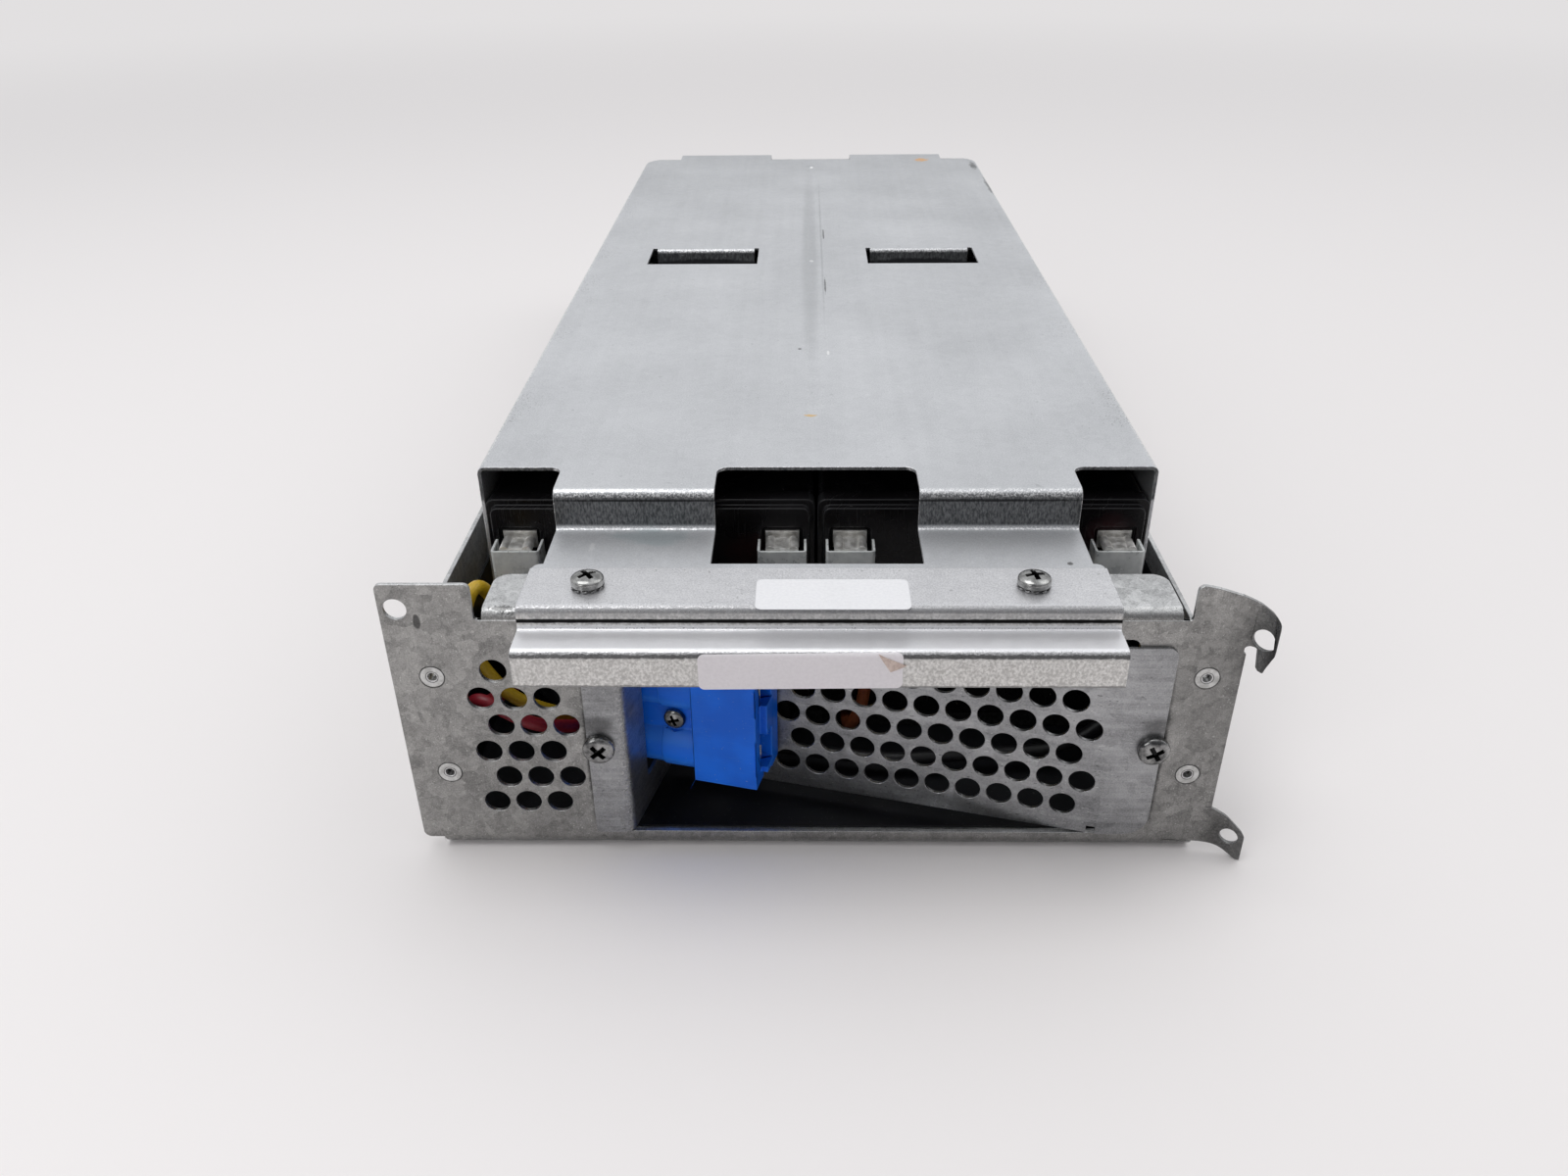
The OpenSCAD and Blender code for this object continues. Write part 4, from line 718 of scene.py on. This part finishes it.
def wireSkin(name, dark, light, dirtColour):
    # Extruded insulation: fine lengthwise lines from the piece's own map, faint dirt and rub marks
    look = skinBasics
    tree, shader, position = startMaterial(name, look)
    along = put(tree, "UVMap", uv_map="wireMap").outputs["UV"]
    lines = noise(tree, vectors(tree, "MULTIPLY", along, look["along"]), 1.0, 3)
    dirt = noise(tree, position, look["dirtScale"], 4, 0.6)
    colour = blended(tree, stepped(tree, lines, *noiseCore), dark, light)
    colour = blended(tree, stepped(tree, dirt, *look["dirtRange"], 0.0, look["dirtShare"]), colour, dirtColour)
    endMaterial(tree, shader, look, colour, stepped(tree, dirt, *noiseSpan, *look["rough"]), lines)


wireSkin("redSkin", (0.25, 0.012, 0.024), (0.34, 0.02, 0.034), (0.1, 0.012, 0.02))
wireSkin("yellowSkin", (0.46, 0.29, 0.012), (0.58, 0.38, 0.018), (0.22, 0.14, 0.02))
wireSkin("blackSkin", (0.009, 0.009, 0.01), (0.016, 0.016, 0.017), 0.04)
wireSkin("brownSkin", (0.2, 0.05, 0.018), (0.29, 0.08, 0.03), (0.1, 0.04, 0.02))

paperBasics = {
    "fibreScale": 1300.0, "cloudScale": 90.0, "stainRange": (0.55, 0.8), "rough": (0.4, 0.52), "bump": 0.1,
}


def labelPaper(name, ownLook):
    # Coated label stock: faint fibres, small stains and a soft sheen
    look = {**paperBasics, **ownLook}
    tree, shader, position = startMaterial(name, look)
    fibre = noise(tree, position, look["fibreScale"], 4, 0.6)
    colour = blended(tree, stepped(tree, fibre, *noiseSpan), look["dark"], look["light"])
    cloud = noise(tree, position, look["cloudScale"], 3)
    stained = stepped(tree, cloud, *look["stainRange"], 0.0, look["stain"])
    colour = blended(tree, stained, colour, look["stainColour"])
    endMaterial(tree, shader, look, colour, stepped(tree, fibre, *noiseSpan, *look["rough"]), fibre)


labelPaper("whiteLabel", {
    "dark": (0.78, 0.78, 0.8), "light": (0.84, 0.84, 0.855), "stain": 0.25, "stainColour": 0.7})
labelPaper("stickerPaper", {
    "dark": (0.78, 0.745, 0.77), "light": (0.83, 0.795, 0.82), "stain": 0.3, "stainColour": (0.62, 0.58, 0.58)})
labelPaper("stickerBack", {
    "dark": (0.5, 0.38, 0.33), "light": (0.68, 0.56, 0.5), "stain": 0.6, "stainColour": (0.35, 0.22, 0.17)})

print("stage: formed sheets and moulded pieces")

merge = {"near": 0.004 * mm, "flat": math.radians(0.4)}


def mergedCopy(nodeName, pieceName, look):
    # A copy of a CAD node as one closed mesh with joined faces
    shape = bmesh.new()
    shape.from_mesh(nodes[nodeName].data)
    bmesh.ops.remove_doubles(shape, verts=shape.verts, dist=merge["near"])
    bmesh.ops.dissolve_limit(shape, angle_limit=merge["flat"], verts=shape.verts, edges=shape.edges)
    points = np.array([v.co[:] for v in shape.verts])
    if "drawIn" in look:  # distances from each middle are cut to a share of what passes one radius
        for x, fromPlate in look["drawIn"]["middles"]:
            past = look["drawIn"]["past"] * mm
            offset = points[:, :2] - place(x, fromPlate, 0)[:2]
            far = np.linalg.norm(offset, axis=1, keepdims=True)
            shorter = (past + (far - past) * look["drawIn"]["keep"]) / far
            points[:, :2] += offset * (np.where((far > past) & (far < 2 * past), shorter, 1) - 1)
    shape.verts.index_update()
    mesh = bpy.data.meshes.new(pieceName)
    mesh.from_pydata(points.tolist(), [], [[v.index for v in face.verts] for face in shape.faces])
    shape.free()
    return mesh


finish = {"sharp": 32, "steps": 2, "bevelFrom": 40, "flatness": 90}


def finishPiece(mesh, pieceName, nodeName, materialName, look):
    # A smooth-shaded piece that rides on the root, with a small broken edge where it has one
    piece = bpy.data.objects.new(pieceName, mesh)
    bpy.context.scene.collection.objects.link(piece)
    mesh.materials.append(bpy.data.materials[materialName])
    mesh.shade_smooth()
    mesh.set_sharp_from_angle(angle=math.radians(look.get("sharp", finish["sharp"])))
    if "edge" in look:
        bevel = piece.modifiers.new("brokenEdge", "BEVEL")
        bevel.width = look["edge"] * mm
        bevel.segments = look.get("steps", finish["steps"])
        bevel.limit_method = "ANGLE"
        bevel.angle_limit = math.radians(finish["bevelFrom"])
        bevel.use_clamp_overlap = False
        bevel.harden_normals = False
        weights = piece.modifiers.new("flatFaces", "WEIGHTED_NORMAL")
        weights.keep_sharp = True
        weights.weight = finish["flatness"]
    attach(piece, "root")
    if nodeName:
        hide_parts(nodeName)


def sheet(node, slot, material, edge, **more):
    # Settings of one piece; edge is the width of its broken edge in millimetres
    return {"node": node, "slot": slot, "material": material, "edge": edge, **more}


sheets = {
    "trayPlate": sheet("tray", "tray_steel", "trayZinc", 0.14),
    "coverSheet": sheet("top_cover", "galvanised_cover", "coverZinc", 0.14),
    "handleSheet": sheet("front_handle", "galvanised_handle", "handleZinc", 0.14),
    "bracketSheet": sheet("connector_bracket", "tray_steel", "bracketZinc", 0.12),
    "cornerRivets": sheet("corner_rivets", "rivet_steel", "rivetZinc", 0.1),
    "toothedWashers": sheet("lock_washers", "zinc_screws", "washerZinc", 0.05,
                            drawIn={"middles": [(-54.9, 8.2), (51.3, 8.2)], "past": 3.2, "keep": 0.62}),
    "clinchNuts": sheet("clinch_nuts", "nut_steel", "nutZinc", 0.1),
    "clampNut": sheet("connector_nut", "nut_steel", "nutZinc", 0.1),
    "blueHousing": sheet("connector_housing", "blue_plastic", "blueShell", 0.25, steps=3),
    "poleContacts": sheet("connector_contacts", "silver_contact", "silverPlate", 0.1),
    "poleSprings": sheet("contact_springs", "spring_steel", "springSteel", 0.05),
    "floorLiner": sheet("insulation_liner", "black_liner", "linerFilm", 0.08),
    "ventStrips": sheet("vent_covers", "battery_plastic", "lidAbs", 0.15),
    "plusBlades": sheet("positive_blades", "tinned_brass", "tinnedBrass", 0.06),
    "minusBlades": sheet("negative_blades", "tinned_brass", "tinnedBrass", 0.06),
    "pushOnClips": sheet("blade_receptacles", "tinned_brass", "tinnedBrass", 0.05),
    "vinylSleeves": sheet("terminal_sleeves", "clear_sleeve", "sleeveVinyl", 0.08),
    "topFoam": sheet("top_foam", "foam", "foamCells", 0.4),
    "baseFoam": sheet("base_foam", "foam", "foamCells", 0.4),
    "rowFoam": sheet("row_pads", "foam", "foamCells", 0.3),
}
for number in range(1, 9):
    sheets[f"blockCase{number}"] = sheet(f"battery_case_{number}", "battery_plastic", "caseAbs", 0.3, steps=3)
    sheets[f"blockLid{number}"] = sheet(f"battery_lid_{number}", "battery_lid", "lidAbs", 0.3, steps=3)
for pieceName, look in sheets.items():
    mesh = mergedCopy(look["node"], pieceName, look)
    finishPiece(mesh, pieceName, look["node"], look["material"], look)

screwLook = {
    "side": 0.42, "fullness": 2.3, "flat": 0.62, "flatRings": 43, "shoulderRings": 16, "around": 120,
    "underEdge": 0.16, "underStep": 0.14, "tip": 0.5, "fullHead": 4,
    "armLength": 2.3, "armWidth": 0.58, "endSlope": 0.25, "wallSlope": 0.13, "depth": 1.3, "sharp": 40,
}
panScrew = {"head": 8.0, "shank": 4.0, "high": 2.55}
panelWay = (-0.2436, -0.9699, 0)


def pair(places, height, fromPlate, axis, length):
    # Two pan-head screws, each given by its x and the turn of its recess in degrees
    return [{**panScrew, "foot": (x, fromPlate, height), "axis": axis, "turn": turn, "length": length}
            for x, turn in places]


screwSets = {
    "coverScrews": {"node": "cover_screws", "material": "screwZinc",
                    "screws": pair([(-54.9, 38), (51.3, 12)], 76.05, 8.2, (0, 0, 1), 9.9)},
    "bracketScrews": {"node": "bracket_screws", "material": "shadedScrewZinc",
                      "screws": pair([(-54.4, 41), (83.2, 30)], 33.9, -1, (0, -1, 0), 7.9)},
    "rearScrews": {"node": "rear_screws", "material": "screwZinc",
                   "screws": pair([(-47, 20), (47, 63)], 74, 474.1, (0, 1, 0), 5.9)},
    "clampScrew": {"node": "connector_screw", "material": "shadedScrewZinc", "screws": [
        {"head": 5.8, "shank": 3.0, "high": 1.9, "foot": (-36.72, 13.26, 32.7), "axis": panelWay,
         "turn": 20, "length": 18.0}]},
}


def screwPoints(look, screw):
    # A screw as one closed turned surface. The profile runs from the head's top over a rounded
    # shoulder, down its side, in under the head and down the shank to the tip. The driver recess
    # is a cross: its depth is the larger of two arms, each a product of two soft steps.
    headR, shankR, top, length = screw["head"] / 2, screw["shank"] / 2, screw["high"], screw["length"]
    side, flat, power = top * look["side"], look["flat"], look["fullness"]
    shoulder = flat + (1 - flat) * np.sin(np.linspace(0, math.pi / 2, look["shoulderRings"]))
    r = np.concatenate([np.linspace(0, flat, look["flatRings"], endpoint=False), shoulder])
    crown = side + (top - side) * (1 - r ** power) ** (1 / power)
    below = [(headR, look["underEdge"]), (headR - look["underStep"], 0), (shankR, 0),
             (shankR, look["tip"] - length), (shankR - look["tip"], -length), (0, -length)]
    radius = np.concatenate([r * headR, [p[0] for p in below]])
    height = np.concatenate([crown, [p[1] for p in below]])
    angle = np.arange(look["around"]) * 2 * math.pi / look["around"]
    x, y = radius[:, None] * np.cos(angle), radius[:, None] * np.sin(angle)
    scale = headR / look["fullHead"]

    def arm(along, across):
        ends = np.clip((look["armLength"] * scale - np.abs(along)) / look["endSlope"], 0, 1)
        return ends * np.clip((look["armWidth"] * scale - np.abs(across)) / look["wallSlope"], 0, 1)

    recess = np.maximum(arm(x, y), arm(y, x))
    recess[len(r):] = 0
    z = height[:, None] - recess * look["depth"] * scale
    axis = np.array(screw["axis"]) / np.linalg.norm(screw["axis"])
    first = np.cross(axis, (0, 0, 1) if abs(axis[2]) < 0.9 else (0, 1, 0))
    first /= np.linalg.norm(first)
    second = np.cross(axis, first)
    cos, sin = math.cos(math.radians(screw["turn"])), math.sin(math.radians(screw["turn"]))
    first, second = first * cos + second * sin, second * cos - first * sin
    points = np.array(screw["foot"]) + x[..., None] * first + y[..., None] * second + z[..., None] * axis
    return points, recess


def screwMesh(name, look, screws):
    # Several screws in one mesh: rings of quads between the two poles, which are fans
    points, faces, recesses, start = [], [], [], 0
    for screw in screws:
        grid, recess = screwPoints(look, screw)
        rings, around = recess.shape
        points += [grid[0, :1], grid[1:-1].reshape(-1, 3), grid[-1, :1]]
        recesses += [recess[0, :1], recess[1:-1].ravel(), recess[-1, :1]]
        ring = start + 1 + np.arange((rings - 2) * around).reshape(rings - 2, around)
        after = np.roll(ring, -1, axis=1)
        quads = np.stack([ring[:-1], ring[1:], after[1:], after[:-1]], -1).reshape(-1, 4)
        last = start + 1 + (rings - 2) * around
        topFan = np.stack([np.full(around, start), ring[0], after[0]], -1)
        tipFan = np.stack([np.full(around, last), after[-1], ring[-1]], -1)
        faces += quads.tolist() + topFan.tolist() + tipFan.tolist()
        start = last + 1
    mesh = bpy.data.meshes.new(name)
    everything = np.concatenate(points) * mm
    everything[:, 1] += plateY
    mesh.from_pydata(everything.tolist(), [], faces)
    mesh.attributes.new("recess", "FLOAT", "POINT").data.foreach_set("value", np.concatenate(recesses))
    return mesh


for pieceName, screwSet in screwSets.items():
    mesh = screwMesh(pieceName, screwLook, screwSet["screws"])
    finishPiece(mesh, pieceName, screwSet["node"], screwSet["material"],
                {"sharp": screwLook["sharp"]})

print("stage: wires")

wireLook = {
    "radius": 1.78, "sides": 20, "ease": 9.0, "mostEase": 1 / 2.02, "steps": 9, "aside": (0.3, 0.5, 0.8),
    "inner": 9.2, "outer": 80.8, "channel": 93.75, "off": 3.7, "top": 60.2, "sleeveEnd": 46.8, "under": 4.1,
}
barrel = {
    "back": -131.5, "before": 5.5, "inside": 9.5, "height": 32.7, "apart": 9.4, "off": 2.1, "depth": 16.2,
    "corner": 72.6, "face": -1, "angle": 14.1,
}
lidFronts = [(49.7, -1), (247.2, 1), (262.7, -1), (460.2, 1)]  # each row's lids, and which way they face


def inSleeve(x, row, z=wireLook["top"]):
    # A point on a wire that comes down in front of a row's lids, or behind them
    front, way = lidFronts[row]
    return (x, front + way * wireLook["off"], z)


def inConnector(side, off, along):
    # A point on a pole's axis, along the slanted panel from its corner
    turn = math.radians(-barrel["angle"])
    across = off - barrel["depth"] / 2
    x = barrel["corner"] + along * math.cos(turn) - across * math.sin(turn)
    y = barrel["face"] + along * math.sin(turn) + across * math.cos(turn)
    return (x, y, barrel["height"] + side * barrel["apart"])


def tubeAlong(route, settings):
    # A round tube: each corner of the route is eased by a quadratic curve between the points
    # that lie a short way before and after it, and a circle is carried along without twist.
    # The short way is at most a share of the leg that is just under a half.
    corners = np.array(route, float)

    def eased(legs):
        length = np.linalg.norm(legs, axis=1, keepdims=True)
        return legs / length * np.minimum(settings["ease"], length * settings["mostEase"])

    start = corners[1:-1] + eased(corners[:-2] - corners[1:-1])
    end = corners[1:-1] + eased(corners[2:] - corners[1:-1])
    t = np.linspace(0, 1, settings["steps"])[None, :, None]
    curves = start[:, None] * (1 - t) ** 2 + corners[1:-1, None] * 2 * t * (1 - t) + end[:, None] * t ** 2
    line = np.concatenate([corners[:1], curves.reshape(-1, 3), corners[-1:]])
    ways = np.gradient(line, axis=0)
    ways /= np.linalg.norm(ways, axis=1, keepdims=True)
    normals = np.empty_like(line)
    normal = np.cross(ways[0], settings["aside"])
    for k in range(len(line)):
        normal = normal - ways[k] * (normal @ ways[k])
        normal /= np.linalg.norm(normal)
        normals[k] = normal
    angle = np.arange(settings["sides"]) * 2 * math.pi / settings["sides"]
    cos, sin = np.cos(angle)[None, :, None], np.sin(angle)[None, :, None]
    circle = normals[:, None] * cos + np.cross(ways, normals)[:, None] * sin
    points = (line[:, None] + settings["radius"] * circle).reshape(-1, 3) * mm
    points[:, 1] += plateY
    run = np.concatenate([[0], np.cumsum(np.linalg.norm(np.diff(line, axis=0), axis=1))])
    return points, run


def tubeMesh(name, route, settings):
    points, run = tubeAlong(route, settings)
    rings, sides = len(run), settings["sides"]
    ring, side = np.meshgrid(np.arange(rings - 1), np.arange(sides), indexing="ij")
    after = (side + 1) % sides
    quads = np.stack([ring * sides + side, ring * sides + after,
                      (ring + 1) * sides + after, (ring + 1) * sides + side], -1).reshape(-1, 4)
    ends = [list(range(sides - 1, -1, -1)), list(range((rings - 1) * sides, rings * sides))]
    mesh = bpy.data.meshes.new(name)
    mesh.from_pydata(points.tolist(), [], quads.tolist() + ends)
    # Each corner's place on the skin: round the wire, and along it in centimetres
    turn = np.stack([side, side + 1, side + 1, side], -1).reshape(-1) / sides
    way = np.stack([run[ring], run[ring], run[ring + 1], run[ring + 1]], -1).reshape(-1) / 10
    uv = np.zeros((len(mesh.loops), 2))
    uv[:len(turn)] = np.stack([turn, way], -1)
    mesh.uv_layers.new(name="wireMap").data.foreach_set("uv", uv.ravel())
    return mesh


inner, outer, channel = wireLook["inner"], wireLook["outer"], wireLook["channel"]
sleeveEnd, under, off = wireLook["sleeveEnd"], wireLook["under"], barrel["off"]
behind, crimp = barrel["back"] - barrel["before"], barrel["back"] + barrel["inside"]


def leave(x, row):
    return [inSleeve(x, row), inSleeve(x, row, sleeveEnd)]


def plugIn(side, across):
    return [inConnector(side, across, behind), inConnector(side, across, crimp)]


def underLink(x, row):
    return [inSleeve(x, row), inSleeve(x, row, under), inSleeve(x, row + 1, under), inSleeve(x, row + 1)]


def crossLink(row, y, z):
    return [*leave(-outer, row), (-outer + 2, y, z), (-outer + 16, y, z), (outer - 16, y, z), (outer - 2, y, z),
            *reversed(leave(outer, row))]


wires = {
    "redLead": {"node": "wire_front_left", "colour": "red", "route": [
        *leave(-outer, 0), (-80, 38, 28), (-90, 21, 30), (-89, 12.5, 38), (-85.5, 9.5, 41), (-79, 9, 37),
        (-73, 9.8, 32.7), (-66, 16, 27.5), *plugIn(-1, -off)]},
    "yellowFrontLead": {"node": "wire_front_right", "colour": "yellow", "route": [
        *leave(outer, 0), (78, 38, 38), (60, 39, 37), (0, 40, 36), (-45, 41, 36), (-62, 38, 38),
        (-69, 31, 42), *plugIn(1, off)]},
    "yellowSideLead": {"node": "wire_side_left", "colour": "yellow", "route": [
        *leave(-outer, 2), (-outer, 258.7, 20), (-channel, 258.7, 20), (-channel, 120, 30), (-channel, 66, 34),
        (-90, 48, 44), (-84, 30, 58), (-86, 21.5, 69), (-89, 16.5, 62), (-87.5, 15, 51.5), (-83.8, 15, 44),
        (-79, 15, 37.5), (-71, 17, 32), (-66, 22, 27), *plugIn(-1, off)]},
    "blackSideLead": {"node": "wire_side_right", "colour": "black", "route": [
        *leave(outer, 2), (outer, 258.7, 20), (channel, 258.7, 20), (channel, 60, 20), (90, 44, 14), (70, 32, 8),
        (20, 28, 7), (-30, 36, 8), (-62, 40, 12), (-76, 38, 22), (-77, 31, 36), (-70, 25, 42), *plugIn(1, -off)]},
    "blackFrontLink": {"node": "link_front_left", "colour": "black", "route": underLink(-inner, 0)},
    "brownFrontLink": {"node": "link_front_right", "colour": "brown", "route": [
        *leave(inner, 0), (inner + 5, 45, 32), (inner + 5, 45, 14), (inner, 44.7, under),
        inSleeve(inner, 1, under), inSleeve(inner, 1)]},
    "brownRearLeftLink": {"node": "link_rear_left", "colour": "brown", "route": underLink(-inner, 2)},
    "brownRearRightLink": {"node": "link_rear_right", "colour": "brown", "route": underLink(inner, 2)},
    "blackMiddleLink": {"node": "link_middle", "colour": "black", "route": crossLink(1, 254.95, 30)},
    "blackRearLink": {"node": "link_rear", "colour": "black", "route": crossLink(3, 467.9, 30)},
}
for pieceName, wire in wires.items():
    mesh = tubeMesh(pieceName, wire["route"], wireLook)
    finishPiece(mesh, pieceName, wire["node"], wire["colour"] + "Skin", {})

print("stage: labels")


def gridOf(x, y, z):
    # The points of a grid, from three arrays or numbers in metres
    return np.stack(np.broadcast_arrays(x, y, z), -1)


def gridMesh(name, points, thickness):
    # A closed thin slab: the grid of points, the same grid set back along the normals, and a rim
    rows, columns = points.shape[:2]
    normal = np.cross(np.gradient(points, axis=1), np.gradient(points, axis=0))
    normal /= np.linalg.norm(normal, axis=2, keepdims=True)
    back = points - normal * thickness
    index = np.arange(rows * columns).reshape(rows, columns)
    quads = np.stack([index[:-1, :-1], index[1:, :-1], index[1:, 1:], index[:-1, 1:]], -1).reshape(-1, 4)
    loop = np.concatenate([index[0, :-1], index[:-1, -1], index[-1, :0:-1], index[:0:-1, 0]])
    after = np.roll(loop, -1)
    rim = np.stack([loop, after, after + rows * columns, loop + rows * columns], -1)
    mesh = bpy.data.meshes.new(name)
    everything = np.concatenate([points.reshape(-1, 3), back.reshape(-1, 3)])
    faces = np.concatenate([quads[:, ::-1], quads + rows * columns, rim])
    mesh.from_pydata(everything.tolist(), [], faces.tolist())
    return mesh


def roundedRectangle(look, low, high, way):
    # Rows across a rounded rectangle, close together near its ends, and the x values of each:
    # they run between sides that the corners' arcs pull in.
    middle, reach, radius = (high + low) / 2, (high - low) / 2, look["radius"]
    across = np.sin(np.linspace(-way * math.pi / 2, way * math.pi / 2, look["rows"])) * reach
    beyond = np.clip(np.abs(across) - (reach - radius), 0, radius)
    pulled = (radius - np.sqrt(np.maximum(radius ** 2 - beyond ** 2, 0)))[:, None]
    share = np.linspace(0, 1, look["columns"])[None, :]
    left, right = look["left"] + pulled, look["right"] - pulled
    return left + (right - left) * share, middle + across[:, None], share


topLabelLook = {"left": -14.6, "right": 21.6, "front": -2.55, "back": 11.2, "radius": 1.6, "lift": 0.1,
                "thick": 0.11, "rows": 25, "columns": 41}


def topLabel(look):
    # A flat rounded rectangle on the handle's top
    x, y, _ = roundedRectangle(look, look["front"], look["back"], 1)
    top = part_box("front_handle")[1].z + look["lift"] * mm
    return gridMesh("topLabel", gridOf(x * mm, plateY + y * mm, top), look["thick"] * mm)


stickerLook = {"left": -27.5, "right": 19.3, "top": 9.25, "bottom": -0.25, "radius": 1.4, "thick": 0.09,
               "bendRadius": 1.3, "lipHeight": 9.5, "lift": 0.04, "askew": 0.25, "rows": 37, "columns": 61}


def lipSticker(look):
    # A rounded rectangle laid down the lip: the way down it is flat on the lip's top, follows a
    # quarter circle round the bend, and goes on down the lip's face.
    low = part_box("front_handle")[0]
    x, across, share = roundedRectangle(look, look["bottom"], look["top"], -1)
    height = across + look["askew"] * (share - 0.5) * 2
    radius, straight, lift = look["bendRadius"], look["lipHeight"] - look["bendRadius"], look["lift"] * mm
    turn = np.clip((height - straight) / radius, 0, math.pi / 2)
    past = np.maximum(height - straight - radius * math.pi / 2, 0)
    y = low.y + (radius * (1 - np.cos(turn)) + past) * mm - lift * np.cos(turn)
    z = low.z + (np.minimum(height, straight) + radius * np.sin(turn)) * mm + lift * np.sin(turn)
    z = np.minimum(z, low.z + look["lipHeight"] * mm + lift)
    return gridMesh("lipSticker", gridOf(x * mm, y, z), look["thick"] * mm)


peelLook = {"tip": (13.6, 9.2), "end": (20.1, 6.2), "hang": (16.5, 4.5), "reach": 0.985, "rise": 0.2,
            "riseFrom": 0.1, "riseTo": 0.9, "edgeRise": 0.55, "bendFrom": 8.2, "bendOver": 1.3, "bendMost": 1.4,
            "bendBack": 0.6, "lift": 0.12, "top": 9.6, "thick": 0.09, "count": 15}


def peeledCorner(look):
    # The sticker's loose corner, folded down over its face: a triangle between the fold line and
    # the hanging tip, which bulges off the face by half a sine wave and follows the bend at its top.
    low, count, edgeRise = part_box("front_handle")[0], look["count"], look["edgeRise"]
    along, down = np.meshgrid(np.linspace(0, 1, count), np.linspace(0, 1, count))
    start, end, tip = (np.array(look[key]) for key in ("tip", "end", "hang"))
    edge = start + (end - start) * along[..., None]
    flat = edge + (tip - edge) * (down[..., None] * look["reach"])
    wave = np.sin(np.pi * (down * (look["riseTo"] - look["riseFrom"]) + look["riseFrom"]))
    bulge = look["rise"] * wave * (edgeRise + (1 - edgeRise) * np.sin(np.pi * along))
    lean = np.clip((flat[..., 1] - look["bendFrom"]) / look["bendOver"], 0, look["bendMost"])
    y = low.y + (look["bendBack"] * lean ** 2 - look["lift"] - bulge) * mm
    z = low.z + np.minimum(flat[..., 1], look["top"]) * mm
    return gridMesh("peeledCorner", gridOf(flat[..., 0] * mm, y, z), look["thick"] * mm)


finishPiece(topLabel(topLabelLook), "topLabel", None, "whiteLabel", {})
finishPiece(lipSticker(stickerLook), "lipSticker", None, "stickerPaper", {})
finishPiece(peeledCorner(peelLook), "peeledCorner", None, "stickerBack", {})
